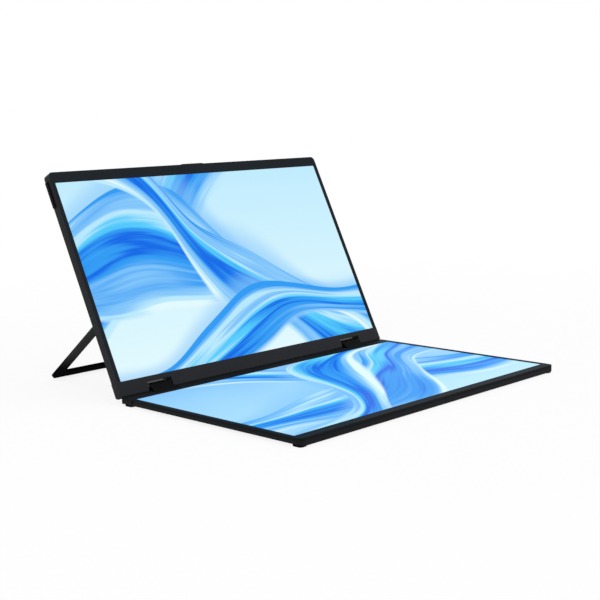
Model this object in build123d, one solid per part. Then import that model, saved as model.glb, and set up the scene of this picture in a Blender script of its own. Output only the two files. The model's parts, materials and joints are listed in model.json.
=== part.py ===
from build123d import *
import os
from math import asin, cos, degrees, radians, sin

# A dual portable monitor: two thin displays joined by two double-axis hinges, and a U-shaped
# stand behind the upper one. Millimetres, X along the hinge, Y to the back, Z up, table at Z = 0.
# Each display is drawn in a frame of its own: X along the hinge, Y from the hinge edge to the
# free edge, Z out of the glass, with the glass plane at Z = 0.

# Screens and outlines
screen_width = 344.2
screen_height = 193.6
side_border = 4.3
free_border = 10.3
chin = 14.0
chin_flare = 0.7
chin_flare_length = 15.0
free_corner_radius = 5.0
chin_corner_radius = 2.5
lower_thickness = 6.8
upper_thickness = 8.3

# Edges, seen along the hinge
chin_front_radius = 1.7
lower_back_radius = 1.8
upper_back_radius = 3.5
free_front_radius = 0.7
free_back_radius = 1.2
lower_side_wall = 5.0
lower_taper_run = 8.0
upper_side_wall = 7.6
upper_taper_run = 0.7

# Shells
wall = 1.2
bezel_depth = 1.8
bezel_plate = 0.9
bezel_lip = 0.4
seam_groove = 0.3
lower_floor = 0.9
upper_floor = 1.1
clearance = 0.2
slip = 0.05

# LCD stack, from the glass inwards
cell_overlap = 1.0
cell_thickness = 1.2
light_guide_thickness = 1.4
chassis_thickness = 0.5
chassis_rim = 0.5
led_bar_depth = 1.2

# Hinges
axis_setback = 5.2
axis_depth = 3.4
axis_distance = 11.75
link_radius = 3.2
link_width = 25.0
link_side_margin = 46.4
cutout_width = 28.5
cutout_depth = 9.7
shell_cutout_depth = 8.75
shaft_radius = 1.5
shaft_outer_length = 19.5
shaft_inner_length = 1.5
bracket_barrel_radius = 2.3
bracket_barrel_length = 14.0
bracket_plate = 1.0
bracket_reach = 34.0
bracket_width = 13.0
bracket_screw_rows = (16.5, 23.0, 29.5)
washer_radius = 2.9
washer_thickness = 1.0
clip_radius = 2.7
clip_thickness = 0.8
clip_groove_radius = 1.2

# Pose in the photograph
opening_angle = 115.9

# Screws
screw_head_radius = 1.8
screw_head_height = 0.7
screw_shank_radius = 0.8
boss_radius = 2.2
screw_pad_height = 0.5
bracket_screw_radius = 0.7
bracket_screw_head_radius = 1.6
bracket_screw_head_height = 0.7
chin_screw_shift = 0.5
free_screw_shift = 0.3
screw_foot_gap = 3.4
lower_chin_screw_spacing = 83.5
lower_free_screw_margin = 14.4
lower_free_screw_spacing = 102.0
upper_chin_screw_margin = 9.4
upper_chin_screw_spacing = 105.0
upper_free_screw_margin = 12.4

# Feet and pads
foot_height = 0.6
foot_length = 10.0
pad_length = 16.0
foot_width = 8.0
foot_inset = 1.5
foot_chin_margin = 2.0
foot_free_margin = 1.0
foot_corner_radius = 2.5
pad_inset = 6.0
pad_chin_margin = 26.0
pad_free_margin = 24.0

# Ribs under the chassis
rib_thickness = 1.2
lower_rib_spacing = 110.0
upper_rib_spacing = 100.0

# Boards, ribbons and speakers
board_thickness = 0.8
chip_height = 0.9
ribbon_thickness = 0.2
ribbon_width = 12.0
ribbon_run_low = 9.0
ribbon_run_high = 13.2
ribbon_board_margin = 16.0
driver_board_low = 16.0
driver_board_height = 16.0
driver_board_gap = 8.0
main_board_left = -60.0
main_board_low = 44.0
main_board_width = 90.0
main_board_height = 56.0
shield_margin = 8.0
shield_low_margin = 4.0
shield_wall = 0.3
speaker_length = 44.0
speaker_width = 19.5
speaker_low = 14.5
speaker_link_gap = 18.0
speaker_corner = 2.0
grille_slots = 9
grille_pitch = 3.0
grille_slot_width = 1.2
grille_slot_length = 10.0
grille_start = 10.0
grille_low = 4.5

# Stand
stand_thickness = 2.8
stand_side_margin = 25.6
stand_arm_width = 11.0
stand_bar_width = 10.8
stand_hinge_height = 86.2
stand_hinge_depth = 5.95
stand_top_margin = 1.1
stand_corner_radius = 4.0
stand_knuckle_radius = 2.1
stand_knuckle_width = 6.6
stand_neck_length = 5.0
stand_pin_radius = 1.0
stand_ear_thickness = 1.6
stand_ear_radius = 2.0
stand_washer_thickness = 0.3
stand_tray_depth = 3.2
stand_tray_floor = 1.0
stand_side_gap = 0.4
stand_foot_radius = 1.7
stand_edge = 0.5

# Keys on the side walls
rocker_length = 25.0
rocker_width = 3.3
key_proud = 1.6
rocker_top_margin = 20.4
rocker_depth = 5.45
rocker_gap = 0.4
rocker_pin_inset = 1.2
rocker_pin_radius = 0.6
key_board_setback = 5.2
key_board_length = 26.0
key_switch_spacing = 18.0
switch_width = 3.0
power_key_length = 8.0
power_key_width = 2.6
power_key_top_margin = 27.9
power_key_travel = 0.4
power_key_flange = 1.2
status_light_spacing = 12.0
status_light_radius = 0.6

# Sockets on the right wall
socket_centre_depth = 5.25
usb_width = 8.94
usb_height = 3.2
usb_places = (40.0, 62.0)
hdmi_width = 11.2
hdmi_place = 88.0
port_board_margin = 12.0
port_board_end_margin = 10.0
port_ribbon_low = 48.0
port_ribbon_lap = 6.0
port_tab_width = 5.0
socket_shell = 0.3
socket_length = 8.0
socket_recess = 0.4

# Lift tab on the top edge
tab_width = 28.0
tab_proud = 1.2
tab_thickness = 1.9

# Worked out from the sizes above
half_width = screen_width / 2 + side_border
panel_height = chin + screen_height + free_border
link_centre = half_width - link_side_margin
stand_arm_outer = half_width - stand_side_margin
stand_length = panel_height - stand_hinge_height - stand_top_margin
rocker_height = panel_height - rocker_top_margin
power_key_height = panel_height - power_key_top_margin
speaker_end = link_centre - speaker_link_gap
speaker_start = speaker_end - speaker_length
driver_board_half = speaker_start - driver_board_gap
cell_front = -(bezel_lip + slip)
cell_back = cell_front - cell_thickness
guide_back = cell_back - light_guide_thickness
chassis_front = guide_back - slip
chassis_back = chassis_front - chassis_thickness
half_opening = opening_angle / 2
lean = opening_angle - 90.0
glass_height = lower_thickness + foot_height
chin_screw_row = chin / 2 - chin_screw_shift
free_screw_row = panel_height - free_border / 2 + free_screw_shift
bracket_start = link_centre + cutout_width / 2 + wall + clearance
rocker_inner = half_width - wall - 1.0
bracket_middle = bracket_start + bracket_barrel_length / 2
stand_tray_level = -(upper_thickness - stand_tray_depth)


def block(x0, x1, y0, y1, z0, z1):
    """A box between two corners."""
    return Pos((x0 + x1) / 2, (y0 + y1) / 2, (z0 + z1) / 2) * Box(abs(x1 - x0), abs(y1 - y0), abs(z1 - z0))


def rod_x(x0, x1, y, z, radius):
    """A round bar along X."""
    return Pos((x0 + x1) / 2, y, z) * Rot(0, 90, 0) * Cylinder(radius, abs(x1 - x0))


def rod_z(x, y, z0, z1, radius):
    """A round bar along Z."""
    return Pos(x, y, (z0 + z1) / 2) * Cylinder(radius, abs(z1 - z0))


def section(corners, radii):
    """A flat outline with each corner rounded by its own radius; 0 leaves it sharp."""
    face = make_face(Polyline(*corners, close=True))
    for corner, radius in zip(corners, radii):
        if radius > 0.05:
            vertex = face.vertices().sort_by_distance(Vector(*corner))[0]
            face = fillet(vertex, radius)
    return face


def display_form(thickness, back_radius, side_wall, taper_run, skin=0.0, lid=0.0, floor=0.0):
    """The outer form of a display, or the hollow inside it when skin, lid and floor are given."""
    half = half_width - skin
    flared = half + chin_flare
    top = panel_height - skin
    shoulder = chin_flare_length - skin
    plan = section(
        [(-flared, skin), (flared, skin), (flared, shoulder), (half, shoulder),
         (half, top), (-half, top), (-half, shoulder), (-flared, shoulder)],
        [chin_corner_radius - skin, chin_corner_radius - skin, 0, 0,
         free_corner_radius - skin, free_corner_radius - skin, 0, 0])
    back = -(thickness - floor)
    side = section(
        [(skin, -lid), (top, -lid), (top, back), (skin, back)],
        [chin_front_radius - skin, free_front_radius - skin, free_back_radius - skin, back_radius - skin])
    edge = -(side_wall - floor)
    front = section(
        [(-flared, -lid), (flared, -lid), (flared, edge), (half - taper_run, back),
         (taper_run - half, back), (-flared, edge)],
        [free_front_radius - skin, free_front_radius - skin, 0, 0, 0, 0])
    reach = panel_height + half_width
    plan_solid = Pos(0, 0, -thickness) * extrude(plan, amount=thickness)
    side_solid = Plane.YZ * extrude(side, amount=reach, both=True)
    front_solid = Pos(0, reach / 2, 0) * (Plane.XZ * extrude(front, amount=reach, both=True))
    return plan_solid & side_solid & front_solid


def lower_form(**inner):
    return display_form(lower_thickness, lower_back_radius, lower_side_wall, lower_taper_run, **inner)


def upper_form(**inner):
    return display_form(upper_thickness, upper_back_radius, upper_side_wall, upper_taper_run, **inner)


def cutouts(thickness, depth, growth=0.0):
    """The two hinge cut-outs in the chin, or the walls round them when growth is given."""
    half = cutout_width / 2 + growth
    return [block(side * link_centre - half, side * link_centre + half, -1, depth + growth, -thickness - 1, 1)
            for side in (-1, 1)]


def shaft_holes():
    """Clearance for the hinge shafts through the walls beside the cut-outs."""
    radius = shaft_radius + clearance
    start = link_centre + cutout_width / 2 - 1
    return [rod_x(side * start, side * (bracket_start + 1), axis_setback, -axis_depth, radius)
            for side in (-1, 1)]


def hollow(form, thickness, floor):
    """The room inside a display, without the walls round the hinge cut-outs."""
    room = form(skin=wall, lid=bezel_plate, floor=floor)
    for box in cutouts(thickness, cutout_depth, wall):
        room -= box
    return room


def lower_screw_places():
    outer = half_width - foot_inset - foot_width - screw_foot_gap
    inner = outer - lower_chin_screw_spacing
    free_outer = half_width - lower_free_screw_margin
    free_inner = free_outer - lower_free_screw_spacing
    chin_row = [(x, chin_screw_row) for x in (-outer, -inner, 0.0, inner, outer)]
    return chin_row + [(x, free_screw_row) for x in (-free_outer, -free_inner, free_inner, free_outer)]


def upper_screw_places():
    outer = half_width - upper_chin_screw_margin
    inner = outer - upper_chin_screw_spacing
    free_outer = half_width - upper_free_screw_margin
    chin_row = [(x, chin_screw_row) for x in (-outer, -inner, 0.0, inner, outer)]
    return chin_row + [(x, free_screw_row) for x in (-free_outer, free_outer)]


def front_bezel(form, thickness, floor, screw_places):
    """The matte frame round the screen, with the chin, the lip over the LCD and the screw bosses."""
    frame = form() & block(-half_width - 5, half_width + 5, -5, panel_height + 5, -bezel_depth, 1)
    frame -= hollow(form, thickness, floor)
    half = screen_width / 2
    frame -= block(-half, half, chin, chin + screen_height, -thickness, 1)
    grown = half + cell_overlap + clearance
    frame -= block(-grown, grown, chin - cell_overlap - clearance,
                   chin + screen_height + cell_overlap + clearance, -bezel_plate - 1, -bezel_lip)
    boss_end = -(thickness - floor - screw_pad_height)
    for x, y in screw_places:
        frame += rod_z(x, y, boss_end, -bezel_plate, boss_radius)
        frame -= rod_z(x, y, boss_end - 1, -bezel_plate - 0.5, screw_shank_radius + slip)
    for box in cutouts(thickness, cutout_depth) + shaft_holes():
        frame -= box
    return frame


def seam_line(form):
    """The fine groove round the shell where it meets the bezel."""
    far = panel_height + 5
    band = block(-far, far, -far, far, -bezel_depth - seam_groove, -bezel_depth)
    return (form() - form(skin=seam_groove)) & band


def behind_bezel(thickness):
    """All the room of a display behind its bezel."""
    return block(-half_width - 5, half_width + 5, -5, panel_height + 5, -thickness - 1, -bezel_depth)


def rear_shell(form, thickness, floor, screw_places):
    """The shell behind the bezel: walls, floor and screw pads, with slightly shorter hinge cut-outs."""
    shell = form() & behind_bezel(thickness)
    shell -= hollow(form, thickness, floor)
    shell -= seam_line(form)
    inside = -(thickness - floor)
    for x, y in screw_places:
        shell += rod_z(x, y, inside - slip, inside + screw_pad_height, boss_radius + 0.5)
        shell -= rod_z(x, y, -thickness - 1, 0, screw_shank_radius + clearance)
        head_level = -thickness + screw_head_height + slip
        shell -= rod_z(x, y, -thickness - 1, head_level, screw_head_radius + clearance)
    for box in cutouts(thickness, shell_cutout_depth) + shaft_holes():
        shell -= box
    return shell


def chassis_ribs(thickness, floor, spacing):
    """Ribs on the shell's floor that carry the chassis."""
    half = rib_thickness / 2
    ribs = Part()
    for x in (-spacing, 0.0, spacing):
        ribs += block(x - half, x + half, panel_height * 0.55, panel_height * 0.8,
                      -(thickness - floor) - slip, chassis_back)
    return ribs


def bottom_cover():
    cover = rear_shell(lower_form, lower_thickness, lower_floor, lower_screw_places())
    return cover + chassis_ribs(lower_thickness, lower_floor, lower_rib_spacing)


def tray_outline(start, growth):
    """The U-shaped outline of the stand's recess, round in its inner corners, grown by a wall where given."""
    outer = stand_arm_outer + stand_side_gap + growth
    inner = stand_arm_outer - stand_arm_width - stand_side_gap - growth
    bar_start = stand_hinge_height + stand_length - stand_bar_width - stand_side_gap - growth
    over = panel_height + 2
    corner = stand_corner_radius - stand_side_gap - growth
    return section(
        [(-outer, start), (-inner, start), (-inner, bar_start), (inner, bar_start),
         (inner, start), (outer, start), (outer, over), (-outer, over)],
        [0, 0, corner, corner, 0, 0, 0, 0])


def stand_tray():
    """The recess of the back cover that takes the folded stand, and the same with its walls and floor."""
    below = -upper_thickness - 1
    start = stand_hinge_height + stand_neck_length - 0.5
    recess = extrude(tray_outline(start - 1, 0), amount=stand_tray_level - below)
    grown = extrude(tray_outline(start, wall), amount=stand_tray_level + stand_tray_floor - below)
    return Pos(0, 0, below) * recess, Pos(0, 0, below) * grown


def stand_pockets():
    """The openings in the back cover that the stand's knuckles turn in."""
    outer = stand_arm_outer + stand_side_gap
    inner = stand_arm_outer - stand_arm_width - stand_side_gap
    low = stand_hinge_height - stand_knuckle_radius - 1.5
    high = stand_hinge_height + stand_neck_length - 0.5
    return [block(side * inner, side * outer, low, high, -upper_thickness - 1, chassis_back - slip)
            for side in (-1, 1)]


def side_window(side, length, width, height, depth):
    """An opening through a side wall of the upper display."""
    start = half_width - wall - 1
    return block(side * start, side * (half_width + 2), height - length / 2, height + length / 2,
                 -depth - width / 2, -depth + width / 2)


def slot_form(x0, x1, y, length, width):
    """A bar along X with round ends, for the USB-C sockets and their openings."""
    outline = SlotOverall(length, width)
    return Pos(x0, y, -socket_centre_depth) * (Plane.YZ * extrude(outline, amount=x1 - x0))


def hdmi_form(x0, x1, length, width):
    """A bar along X with two cut lower corners, for the mini HDMI socket and its opening."""
    half, up, cut = length / 2, width / 2, 1.2
    outline = make_face(Polyline((-half, up), (half, up), (half, cut - up), (half - cut, -up),
                                 (cut - half, -up), (-half, cut - up), close=True))
    return Pos(x0, hdmi_place, -socket_centre_depth) * (Plane.YZ * extrude(outline, amount=x1 - x0))


def speaker_slots():
    """The slots in the back cover over the speakers."""
    half = grille_slot_width / 2
    low = speaker_low + grille_low
    slots = Part()
    for side in (-1, 1):
        for index in range(grille_slots):
            x = side * (speaker_start + grille_start + grille_pitch * index)
            slots += block(x - half, x + half, low, low + grille_slot_length, -upper_thickness - 1,
                           -upper_thickness + upper_floor + 0.5)
    return slots


def tab_window(growth=0.0):
    """The opening in the top wall for the lift tab, or the tab's own block without growth."""
    middle = -(bezel_depth + clearance + tab_thickness / 2)
    half = tab_width / 2 + growth
    thick = tab_thickness / 2 + growth
    return block(-half, half, panel_height - wall - growth, panel_height + tab_proud + 5 * growth,
                 middle - thick, middle + thick)


def back_cover():
    cover = rear_shell(upper_form, upper_thickness, upper_floor, upper_screw_places())
    cover += chassis_ribs(upper_thickness, upper_floor, upper_rib_spacing)
    recess, grown = stand_tray()
    cover += grown & upper_form() & behind_bezel(upper_thickness)
    cover -= recess
    for pocket in stand_pockets():
        cover -= pocket
    room = 2 * clearance
    cover -= side_window(-1, rocker_length + room, rocker_width + room, rocker_height, rocker_depth)
    cover -= side_window(1, power_key_length + room, power_key_width + room, power_key_height, rocker_depth)
    start = half_width - wall - 1
    end = half_width + 2
    for place in usb_places:
        cover -= slot_form(start, end, place, usb_width + room, usb_height + room)
    cover -= hdmi_form(start, end, hdmi_width + room, usb_height + room)
    light_place = power_key_height + status_light_spacing
    cover -= rod_x(start, end, light_place, -rocker_depth, status_light_radius + slip)
    cover -= speaker_slots()
    cover -= tab_window(slip)
    return cover


def lcd_cell():
    half = screen_width / 2 + cell_overlap
    return block(-half, half, chin - cell_overlap, chin + screen_height + cell_overlap, cell_back, cell_front)


def backlight():
    half = screen_width / 2 + cell_overlap / 2
    top = chin + screen_height + cell_overlap / 2
    return block(-half, half, chin - cell_overlap / 2, top, guide_back, cell_back)


def led_bar():
    """The strip of lamps along the light guide's chin edge."""
    half = screen_width / 2 - 2
    edge = chin - cell_overlap / 2 - slip
    bar = block(-half, half, edge - led_bar_depth, edge - 0.5, guide_back, cell_back - slip)
    count = 24
    pitch = 2 * half / count
    for index in range(count):
        x = -half + pitch * (index + 0.5)
        bar += block(x - 1.5, x + 1.5, edge - 0.6, edge, guide_back + 0.3, cell_back - 0.3)
    return bar


def chassis():
    """The metal tray behind the LCD, open in front, with a rim on all sides."""
    half = screen_width / 2 + cell_overlap + clearance
    low = chin - cell_overlap - led_bar_depth - clearance
    high = chin + screen_height + cell_overlap + clearance
    rim = chassis_rim
    tray = block(-half - rim, half + rim, low - rim, high + rim, chassis_back, -bezel_plate - slip)
    return tray - block(-half, half, low, high, chassis_front, 1)


def bracket_screw_places():
    return [(bracket_middle, y) for y in bracket_screw_rows]


def chassis_with_screw_holes():
    tray = chassis()
    for x, y in bracket_screw_places():
        for side in (-1, 1):
            tray -= rod_z(side * x, y, chassis_back - 1, 1, bracket_screw_radius + slip)
    return tray


def hinge_bracket(side):
    """The steel bracket on the chassis, with the barrel that grips the hinge shaft."""
    end = bracket_start + bracket_barrel_length
    arm_start = bracket_middle - bracket_width / 2
    bracket = rod_x(side * bracket_start, side * end, axis_setback, -axis_depth, bracket_barrel_radius)
    bracket += block(side * arm_start, side * (arm_start + bracket_width), axis_setback, bracket_reach,
                     chassis_back - bracket_plate, chassis_back)
    bore = shaft_radius + slip / 2
    bracket -= rod_x(side * (bracket_start - 1), side * (end + 1), axis_setback, -axis_depth, bore)
    for x, y in bracket_screw_places():
        bracket -= rod_z(side * x, y, -10, 0, bracket_screw_radius + slip)
    return bracket


def bracket_screws():
    """The small screws that hold both brackets of a display to its chassis."""
    screws = []
    face = chassis_back - bracket_plate
    for x, y in bracket_screw_places():
        for side in (-1, 1):
            head = rod_z(side * x, y, face - bracket_screw_head_height, face, bracket_screw_head_radius)
            head -= block(side * x - 1.0, side * x + 1.0, y - 0.2, y + 0.2, face - 2, face - 0.4)
            shank = rod_z(side * x, y, face - slip, chassis_front - slip / 2, bracket_screw_radius)
            screws.append(head + shank)
    return Compound(children=screws)


def cover_screws(thickness, places):
    """The flat-head screws that hold the rear shell to the bezel's bosses."""
    screws = []
    for x, y in places:
        screw = rod_z(x, y, -thickness, -thickness + screw_head_height, screw_head_radius)
        screw -= block(x - 1.1, x + 1.1, y - 0.2, y + 0.2, -thickness - 1, -thickness + 0.35)
        screw -= block(x - 0.2, x + 0.2, y - 1.1, y + 1.1, -thickness - 1, -thickness + 0.35)
        screw += rod_z(x, y, -thickness + screw_head_height - slip, -bezel_plate - 0.8, screw_shank_radius)
        screws.append(screw)
    return Compound(children=screws)


def hinge_shaft(side):
    """One hinge shaft, from its clip groove through the link to the end of the bracket's barrel."""
    inner = link_centre - link_width / 2 - shaft_inner_length
    outer = bracket_start + bracket_barrel_length + 0.5
    shaft = rod_x(side * inner, side * outer, axis_setback, -axis_depth, shaft_radius)
    groove_end = clip_start() + clip_thickness + slip
    groove = rod_x(side * clip_start(), side * groove_end, axis_setback, -axis_depth, shaft_radius + 1)
    core = rod_x(side * inner, side * outer, axis_setback, -axis_depth, clip_groove_radius)
    return shaft - (groove - core)


def clip_start():
    return link_centre - link_width / 2 - clip_thickness - clearance


def retaining_clips():
    """One open clip at the inner end of each shaft of a display."""
    clips = []
    for side in (-1, 1):
        x0 = side * (clip_start() + slip / 2)
        x1 = side * (clip_start() + clip_thickness)
        clip = rod_x(x0, x1, axis_setback, -axis_depth, clip_radius)
        clip -= rod_x(x0 - 1, x1 + 1, axis_setback, -axis_depth, clip_groove_radius + slip)
        clip -= block(x0 - 1, x1 + 1, axis_setback - 0.9, axis_setback + 0.9, -axis_depth, -axis_depth + 5)
        clips.append(clip)
    return Compound(children=clips)


def friction_washers():
    """The friction washer between each link and the wall beside it."""
    start = link_centre + link_width / 2 + clearance
    end = start + washer_thickness
    washers = []
    for side in (-1, 1):
        washer = rod_x(side * start, side * end, axis_setback, -axis_depth, washer_radius)
        washer -= rod_x(side * (start - 1), side * (end + 1), axis_setback, -axis_depth, shaft_radius + slip)
        washers.append(washer)
    return Compound(children=washers)


def circuit_board(x0, x1, y0, y1, face, chips):
    """A board whose front lies at the given level, with its chips behind it: (x, y, long, wide)."""
    board = block(x0, x1, y0, y1, face - board_thickness, face)
    back = face - board_thickness
    for x, y, long, wide in chips:
        board += block(x - long / 2, x + long / 2, y - wide / 2, y + wide / 2, back - chip_height, back)
    return board


def driver_board():
    half = driver_board_half
    high = driver_board_low + driver_board_height
    middle = (driver_board_low + high) / 2
    sizes = ((-0.7, 9, 6), (-0.3, 7, 7), (2 / 15, 12, 8), (17 / 30, 6, 4), (0.8, 8, 5))
    chips = [(share * half, middle, long, wide) for share, long, wide in sizes]
    return circuit_board(-half, half, driver_board_low, high, chassis_back, chips)


def display_ribbon():
    """The flat ribbon from the driver board along the chin to the left hinge."""
    face = chassis_back - board_thickness
    end = link_centre - cutout_width / 2 - wall - clearance
    start = ribbon_board_margin - driver_board_half
    lap = driver_board_low + driver_board_height / 4
    ribbon = block(start, start + ribbon_width, ribbon_run_low, lap, face - ribbon_thickness, face)
    return ribbon + block(-end, start, ribbon_run_low, ribbon_run_high, face - ribbon_thickness, face)


def rubber_pads(form, thickness, inset, long, places):
    """Flat pads on the back of a display, fitted to its outer form."""
    pads = []
    for side, y in places:
        outer = half_width - inset
        outline = section(
            [(0, 0), (foot_width, 0), (foot_width, long), (0, long)], [foot_corner_radius] * 4)
        pad = Pos(side * outer - (foot_width if side > 0 else 0), y, -thickness - foot_height) * extrude(
            outline, amount=foot_height + 2.0)
        pads.append(pad - form())
    return Compound(children=pads)


def hinge_axes():
    """The two hinge axes of the links in the table frame, as (y, z)."""
    first = (lower_edge - axis_setback, glass_height - axis_depth)
    second = (first[0] + axis_distance * sin(radians(half_opening)),
              first[1] + axis_distance * cos(radians(half_opening)))
    return first, second


def hinge_link(side):
    """The link block between the displays: two parallel bores, rounded round both axes."""
    (y1, z1), (y2, z2) = hinge_axes()
    x0 = side * link_centre - link_width / 2
    outline = SlotCenterToCenter(axis_distance, 2 * link_radius)
    body = extrude(outline, amount=link_width)
    body = chamfer(body.edges().filter_by(GeomType.CIRCLE), 0.4)
    body = Pos(x0, (y1 + y2) / 2, (z1 + z2) / 2) * Rot(90 - half_opening, 0, 0) * (Plane.YZ * body)
    for y, z in ((y1, z1), (y2, z2)):
        body -= rod_x(x0 - 1, x0 + link_width + 1, y, z, shaft_radius + slip)
    return body


def main_board():
    x, y = main_board_left, main_board_low
    chips = [(x + 30, y + 28, 16, 16), (x + 56, y + 32, 9, 9), (x + 72, y + 18, 7, 5), (x + 26, y + 10, 8, 5)]
    return circuit_board(x, x + main_board_width, y, y + main_board_height, chassis_back, chips)


def board_shield():
    """The thin metal can over the main board's chips."""
    face = chassis_back - board_thickness
    x0 = main_board_left + shield_margin
    x1 = main_board_left + main_board_width - shield_margin
    y0 = main_board_low + shield_low_margin
    y1 = main_board_low + main_board_height - shield_margin
    back = face - chip_height - shield_wall - 0.5
    can = block(x0, x1, y0, y1, back, face)
    return can - block(x0 + shield_wall, x1 - shield_wall, y0 + shield_wall, y1 - shield_wall,
                       back + shield_wall, face + 1)


def port_board():
    """The narrow board behind the sockets, on the back cover's floor."""
    floor = -(upper_thickness - upper_floor)
    inner = half_width - socket_recess - socket_length
    start = stand_arm_outer + stand_side_gap + wall + clearance
    low = usb_places[0] - port_board_margin
    board = block(start, inner, low, hdmi_place + port_board_end_margin, floor, floor + board_thickness)
    top = chassis_back - board_thickness - ribbon_thickness
    return board + block(start + 0.5, start + 0.5 + port_tab_width, port_ribbon_low,
                         port_ribbon_low + ribbon_width, floor + board_thickness, top)


def port_ribbon():
    face = chassis_back - board_thickness
    start = main_board_left + main_board_width - port_ribbon_lap
    end = stand_arm_outer + stand_side_gap + wall + port_tab_width + 0.5
    return block(start, end, port_ribbon_low, port_ribbon_low + ribbon_width, face - ribbon_thickness, face)


def usb_c_sockets():
    inner = half_width - socket_recess - socket_length
    outer = half_width - socket_recess
    sockets = []
    for place in usb_places:
        shell = slot_form(inner, outer, place, usb_width, usb_height)
        shell -= slot_form(inner + 1, outer + 1, place, usb_width - 2 * socket_shell,
                           usb_height - 2 * socket_shell)
        shell += block(inner, outer - 1.2, place - 3.3, place + 3.3,
                       -socket_centre_depth - 0.35, -socket_centre_depth + 0.35)
        sockets.append(shell)
    return Compound(children=sockets)


def mini_hdmi_socket():
    inner = half_width - socket_recess - socket_length
    outer = half_width - socket_recess
    shell = hdmi_form(inner, outer, hdmi_width, usb_height)
    shell -= hdmi_form(inner + 1, outer + 1, hdmi_width - 2 * socket_shell, usb_height - 2 * socket_shell)
    return shell + block(inner, outer - 1.2, hdmi_place - 3.8, hdmi_place + 3.8, -socket_centre_depth - 0.3,
                         -socket_centre_depth + 0.3)


def speaker(side):
    floor = -(upper_thickness - upper_floor)
    box = block(side * speaker_start, side * speaker_end, speaker_low, speaker_low + speaker_width, floor,
                chassis_back - 0.4)
    return chamfer(box.edges().filter_by(Axis.Z), speaker_corner)


def rocker_key():
    """The long key on the left wall: it rocks about a pin across its middle."""
    depth = rocker_depth
    outer = half_width + key_proud
    inner = rocker_inner
    key = block(-outer, -inner, rocker_height - rocker_length / 2, rocker_height + rocker_length / 2,
                -depth - rocker_width / 2, -depth + rocker_width / 2)
    key = fillet(key.faces().sort_by(Axis.X)[0].edges(), 0.5)
    pin_x = inner - rocker_pin_inset
    key += block(-inner - slip, -pin_x, rocker_height - 1.6, rocker_height + 1.6, -depth - 1.2, -depth + 1.2)
    key += rod_z(-pin_x, rocker_height, -depth - 1.2, -depth + 1.2, 1.4)
    return key - rod_z(-pin_x, rocker_height, -depth - 5, -depth + 5, rocker_pin_radius + slip)


def rocker_pin():
    pin_x = rocker_inner - rocker_pin_inset
    return rod_z(-pin_x, rocker_height, -(upper_thickness - upper_floor), chassis_back - slip,
                 rocker_pin_radius)


def key_board():
    """The small upright board with the two switches behind the rocker."""
    floor = -(upper_thickness - upper_floor)
    face = half_width - wall - key_board_setback
    half = key_board_length / 2
    switch = switch_width / 2
    board = block(-face, -face + board_thickness, rocker_height - half, rocker_height + half, floor,
                  chassis_back - 0.3)
    for end in (-1, 1):
        y = rocker_height + end * key_switch_spacing / 2
        board += block(-face - 1.6, -face, y - switch, y + switch,
                       -rocker_depth - switch, -rocker_depth + switch)
        board += rod_x(rocker_gap - rocker_inner, -face - 1.5, y, -rocker_depth, 0.8)
    return board


def power_key():
    depth = rocker_depth
    inner = half_width - wall - slip
    half = power_key_length / 2
    key = block(inner - 0.8, half_width + key_proud, power_key_height - half, power_key_height + half,
                -depth - power_key_width / 2, -depth + power_key_width / 2)
    key = fillet(key.faces().sort_by(Axis.X)[-1].edges(), 0.3)
    half += power_key_flange
    return key + block(inner - 0.8, inner, power_key_height - half, power_key_height + half,
                       -depth - power_key_width / 2, -depth + power_key_width / 2)


def power_switch():
    """The small upright board with the power switch and the status lamp's holder."""
    floor = -(upper_thickness - upper_floor)
    plunger = half_width - wall - slip - 0.8 - power_key_travel - 0.1
    face = plunger - 2.2
    switch = switch_width / 2
    board = block(face - board_thickness, face, power_key_height - status_light_spacing / 2,
                  power_key_height + status_light_spacing + 2, floor, chassis_back - 0.3)
    board += block(face, face + 1.4, power_key_height - switch, power_key_height + switch,
                   -rocker_depth - switch, -rocker_depth + switch)
    return board + rod_x(face + 1.3, plunger, power_key_height, -rocker_depth, 0.8)


def status_light():
    """The light pipe beside the power key."""
    start = half_width - wall - slip - 0.8 - power_key_travel - 2.3
    y = power_key_height + status_light_spacing
    return rod_x(start, half_width - 0.1, y, -rocker_depth, status_light_radius)


def lift_tab():
    """The rubber tab that stands out of the middle of the top edge."""
    tab = tab_window()
    inside = panel_height - wall
    middle = -(bezel_depth + clearance + tab_thickness / 2)
    half = tab_width / 2 + 2
    flange = block(-half, half, inside - 1.0, inside, middle - tab_thickness / 2, middle + tab_thickness / 2)
    return tab + flange


def stand_frame():
    """The U-shaped plate, folded flat against the back, with a bored knuckle on each arm."""
    outer = stand_arm_outer
    inner = outer - stand_arm_width
    neck = stand_hinge_height + stand_neck_length
    end = stand_hinge_height + stand_length - stand_foot_radius
    bar = end - stand_bar_width + stand_foot_radius
    outline = section(
        [(-outer, neck), (-inner, neck), (-inner, bar), (inner, bar), (inner, neck), (outer, neck),
         (outer, end), (-outer, end)],
        [1.0, 1.0, stand_corner_radius, stand_corner_radius,
         1.0, 1.0, stand_corner_radius, stand_corner_radius])
    front = stand_tray_level - 0.1
    frame = Pos(0, 0, front - stand_thickness) * extrude(outline, amount=stand_thickness)
    frame = chamfer(frame.faces().sort_by(Axis.Z)[0].edges(), stand_edge)
    for side in (-1, 1):
        middle = side * (outer - stand_arm_width / 2)
        x0 = middle - stand_knuckle_width / 2
        x1 = middle + stand_knuckle_width / 2
        frame += rod_x(x0, x1, stand_hinge_height, -stand_hinge_depth, stand_knuckle_radius)
        frame += block(x0, x1, stand_hinge_height, neck + 1, front - stand_thickness, front)
        frame -= rod_x(x0 - 5, x1 + 5, stand_hinge_height, -stand_hinge_depth, stand_pin_radius + slip)
    return frame


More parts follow.
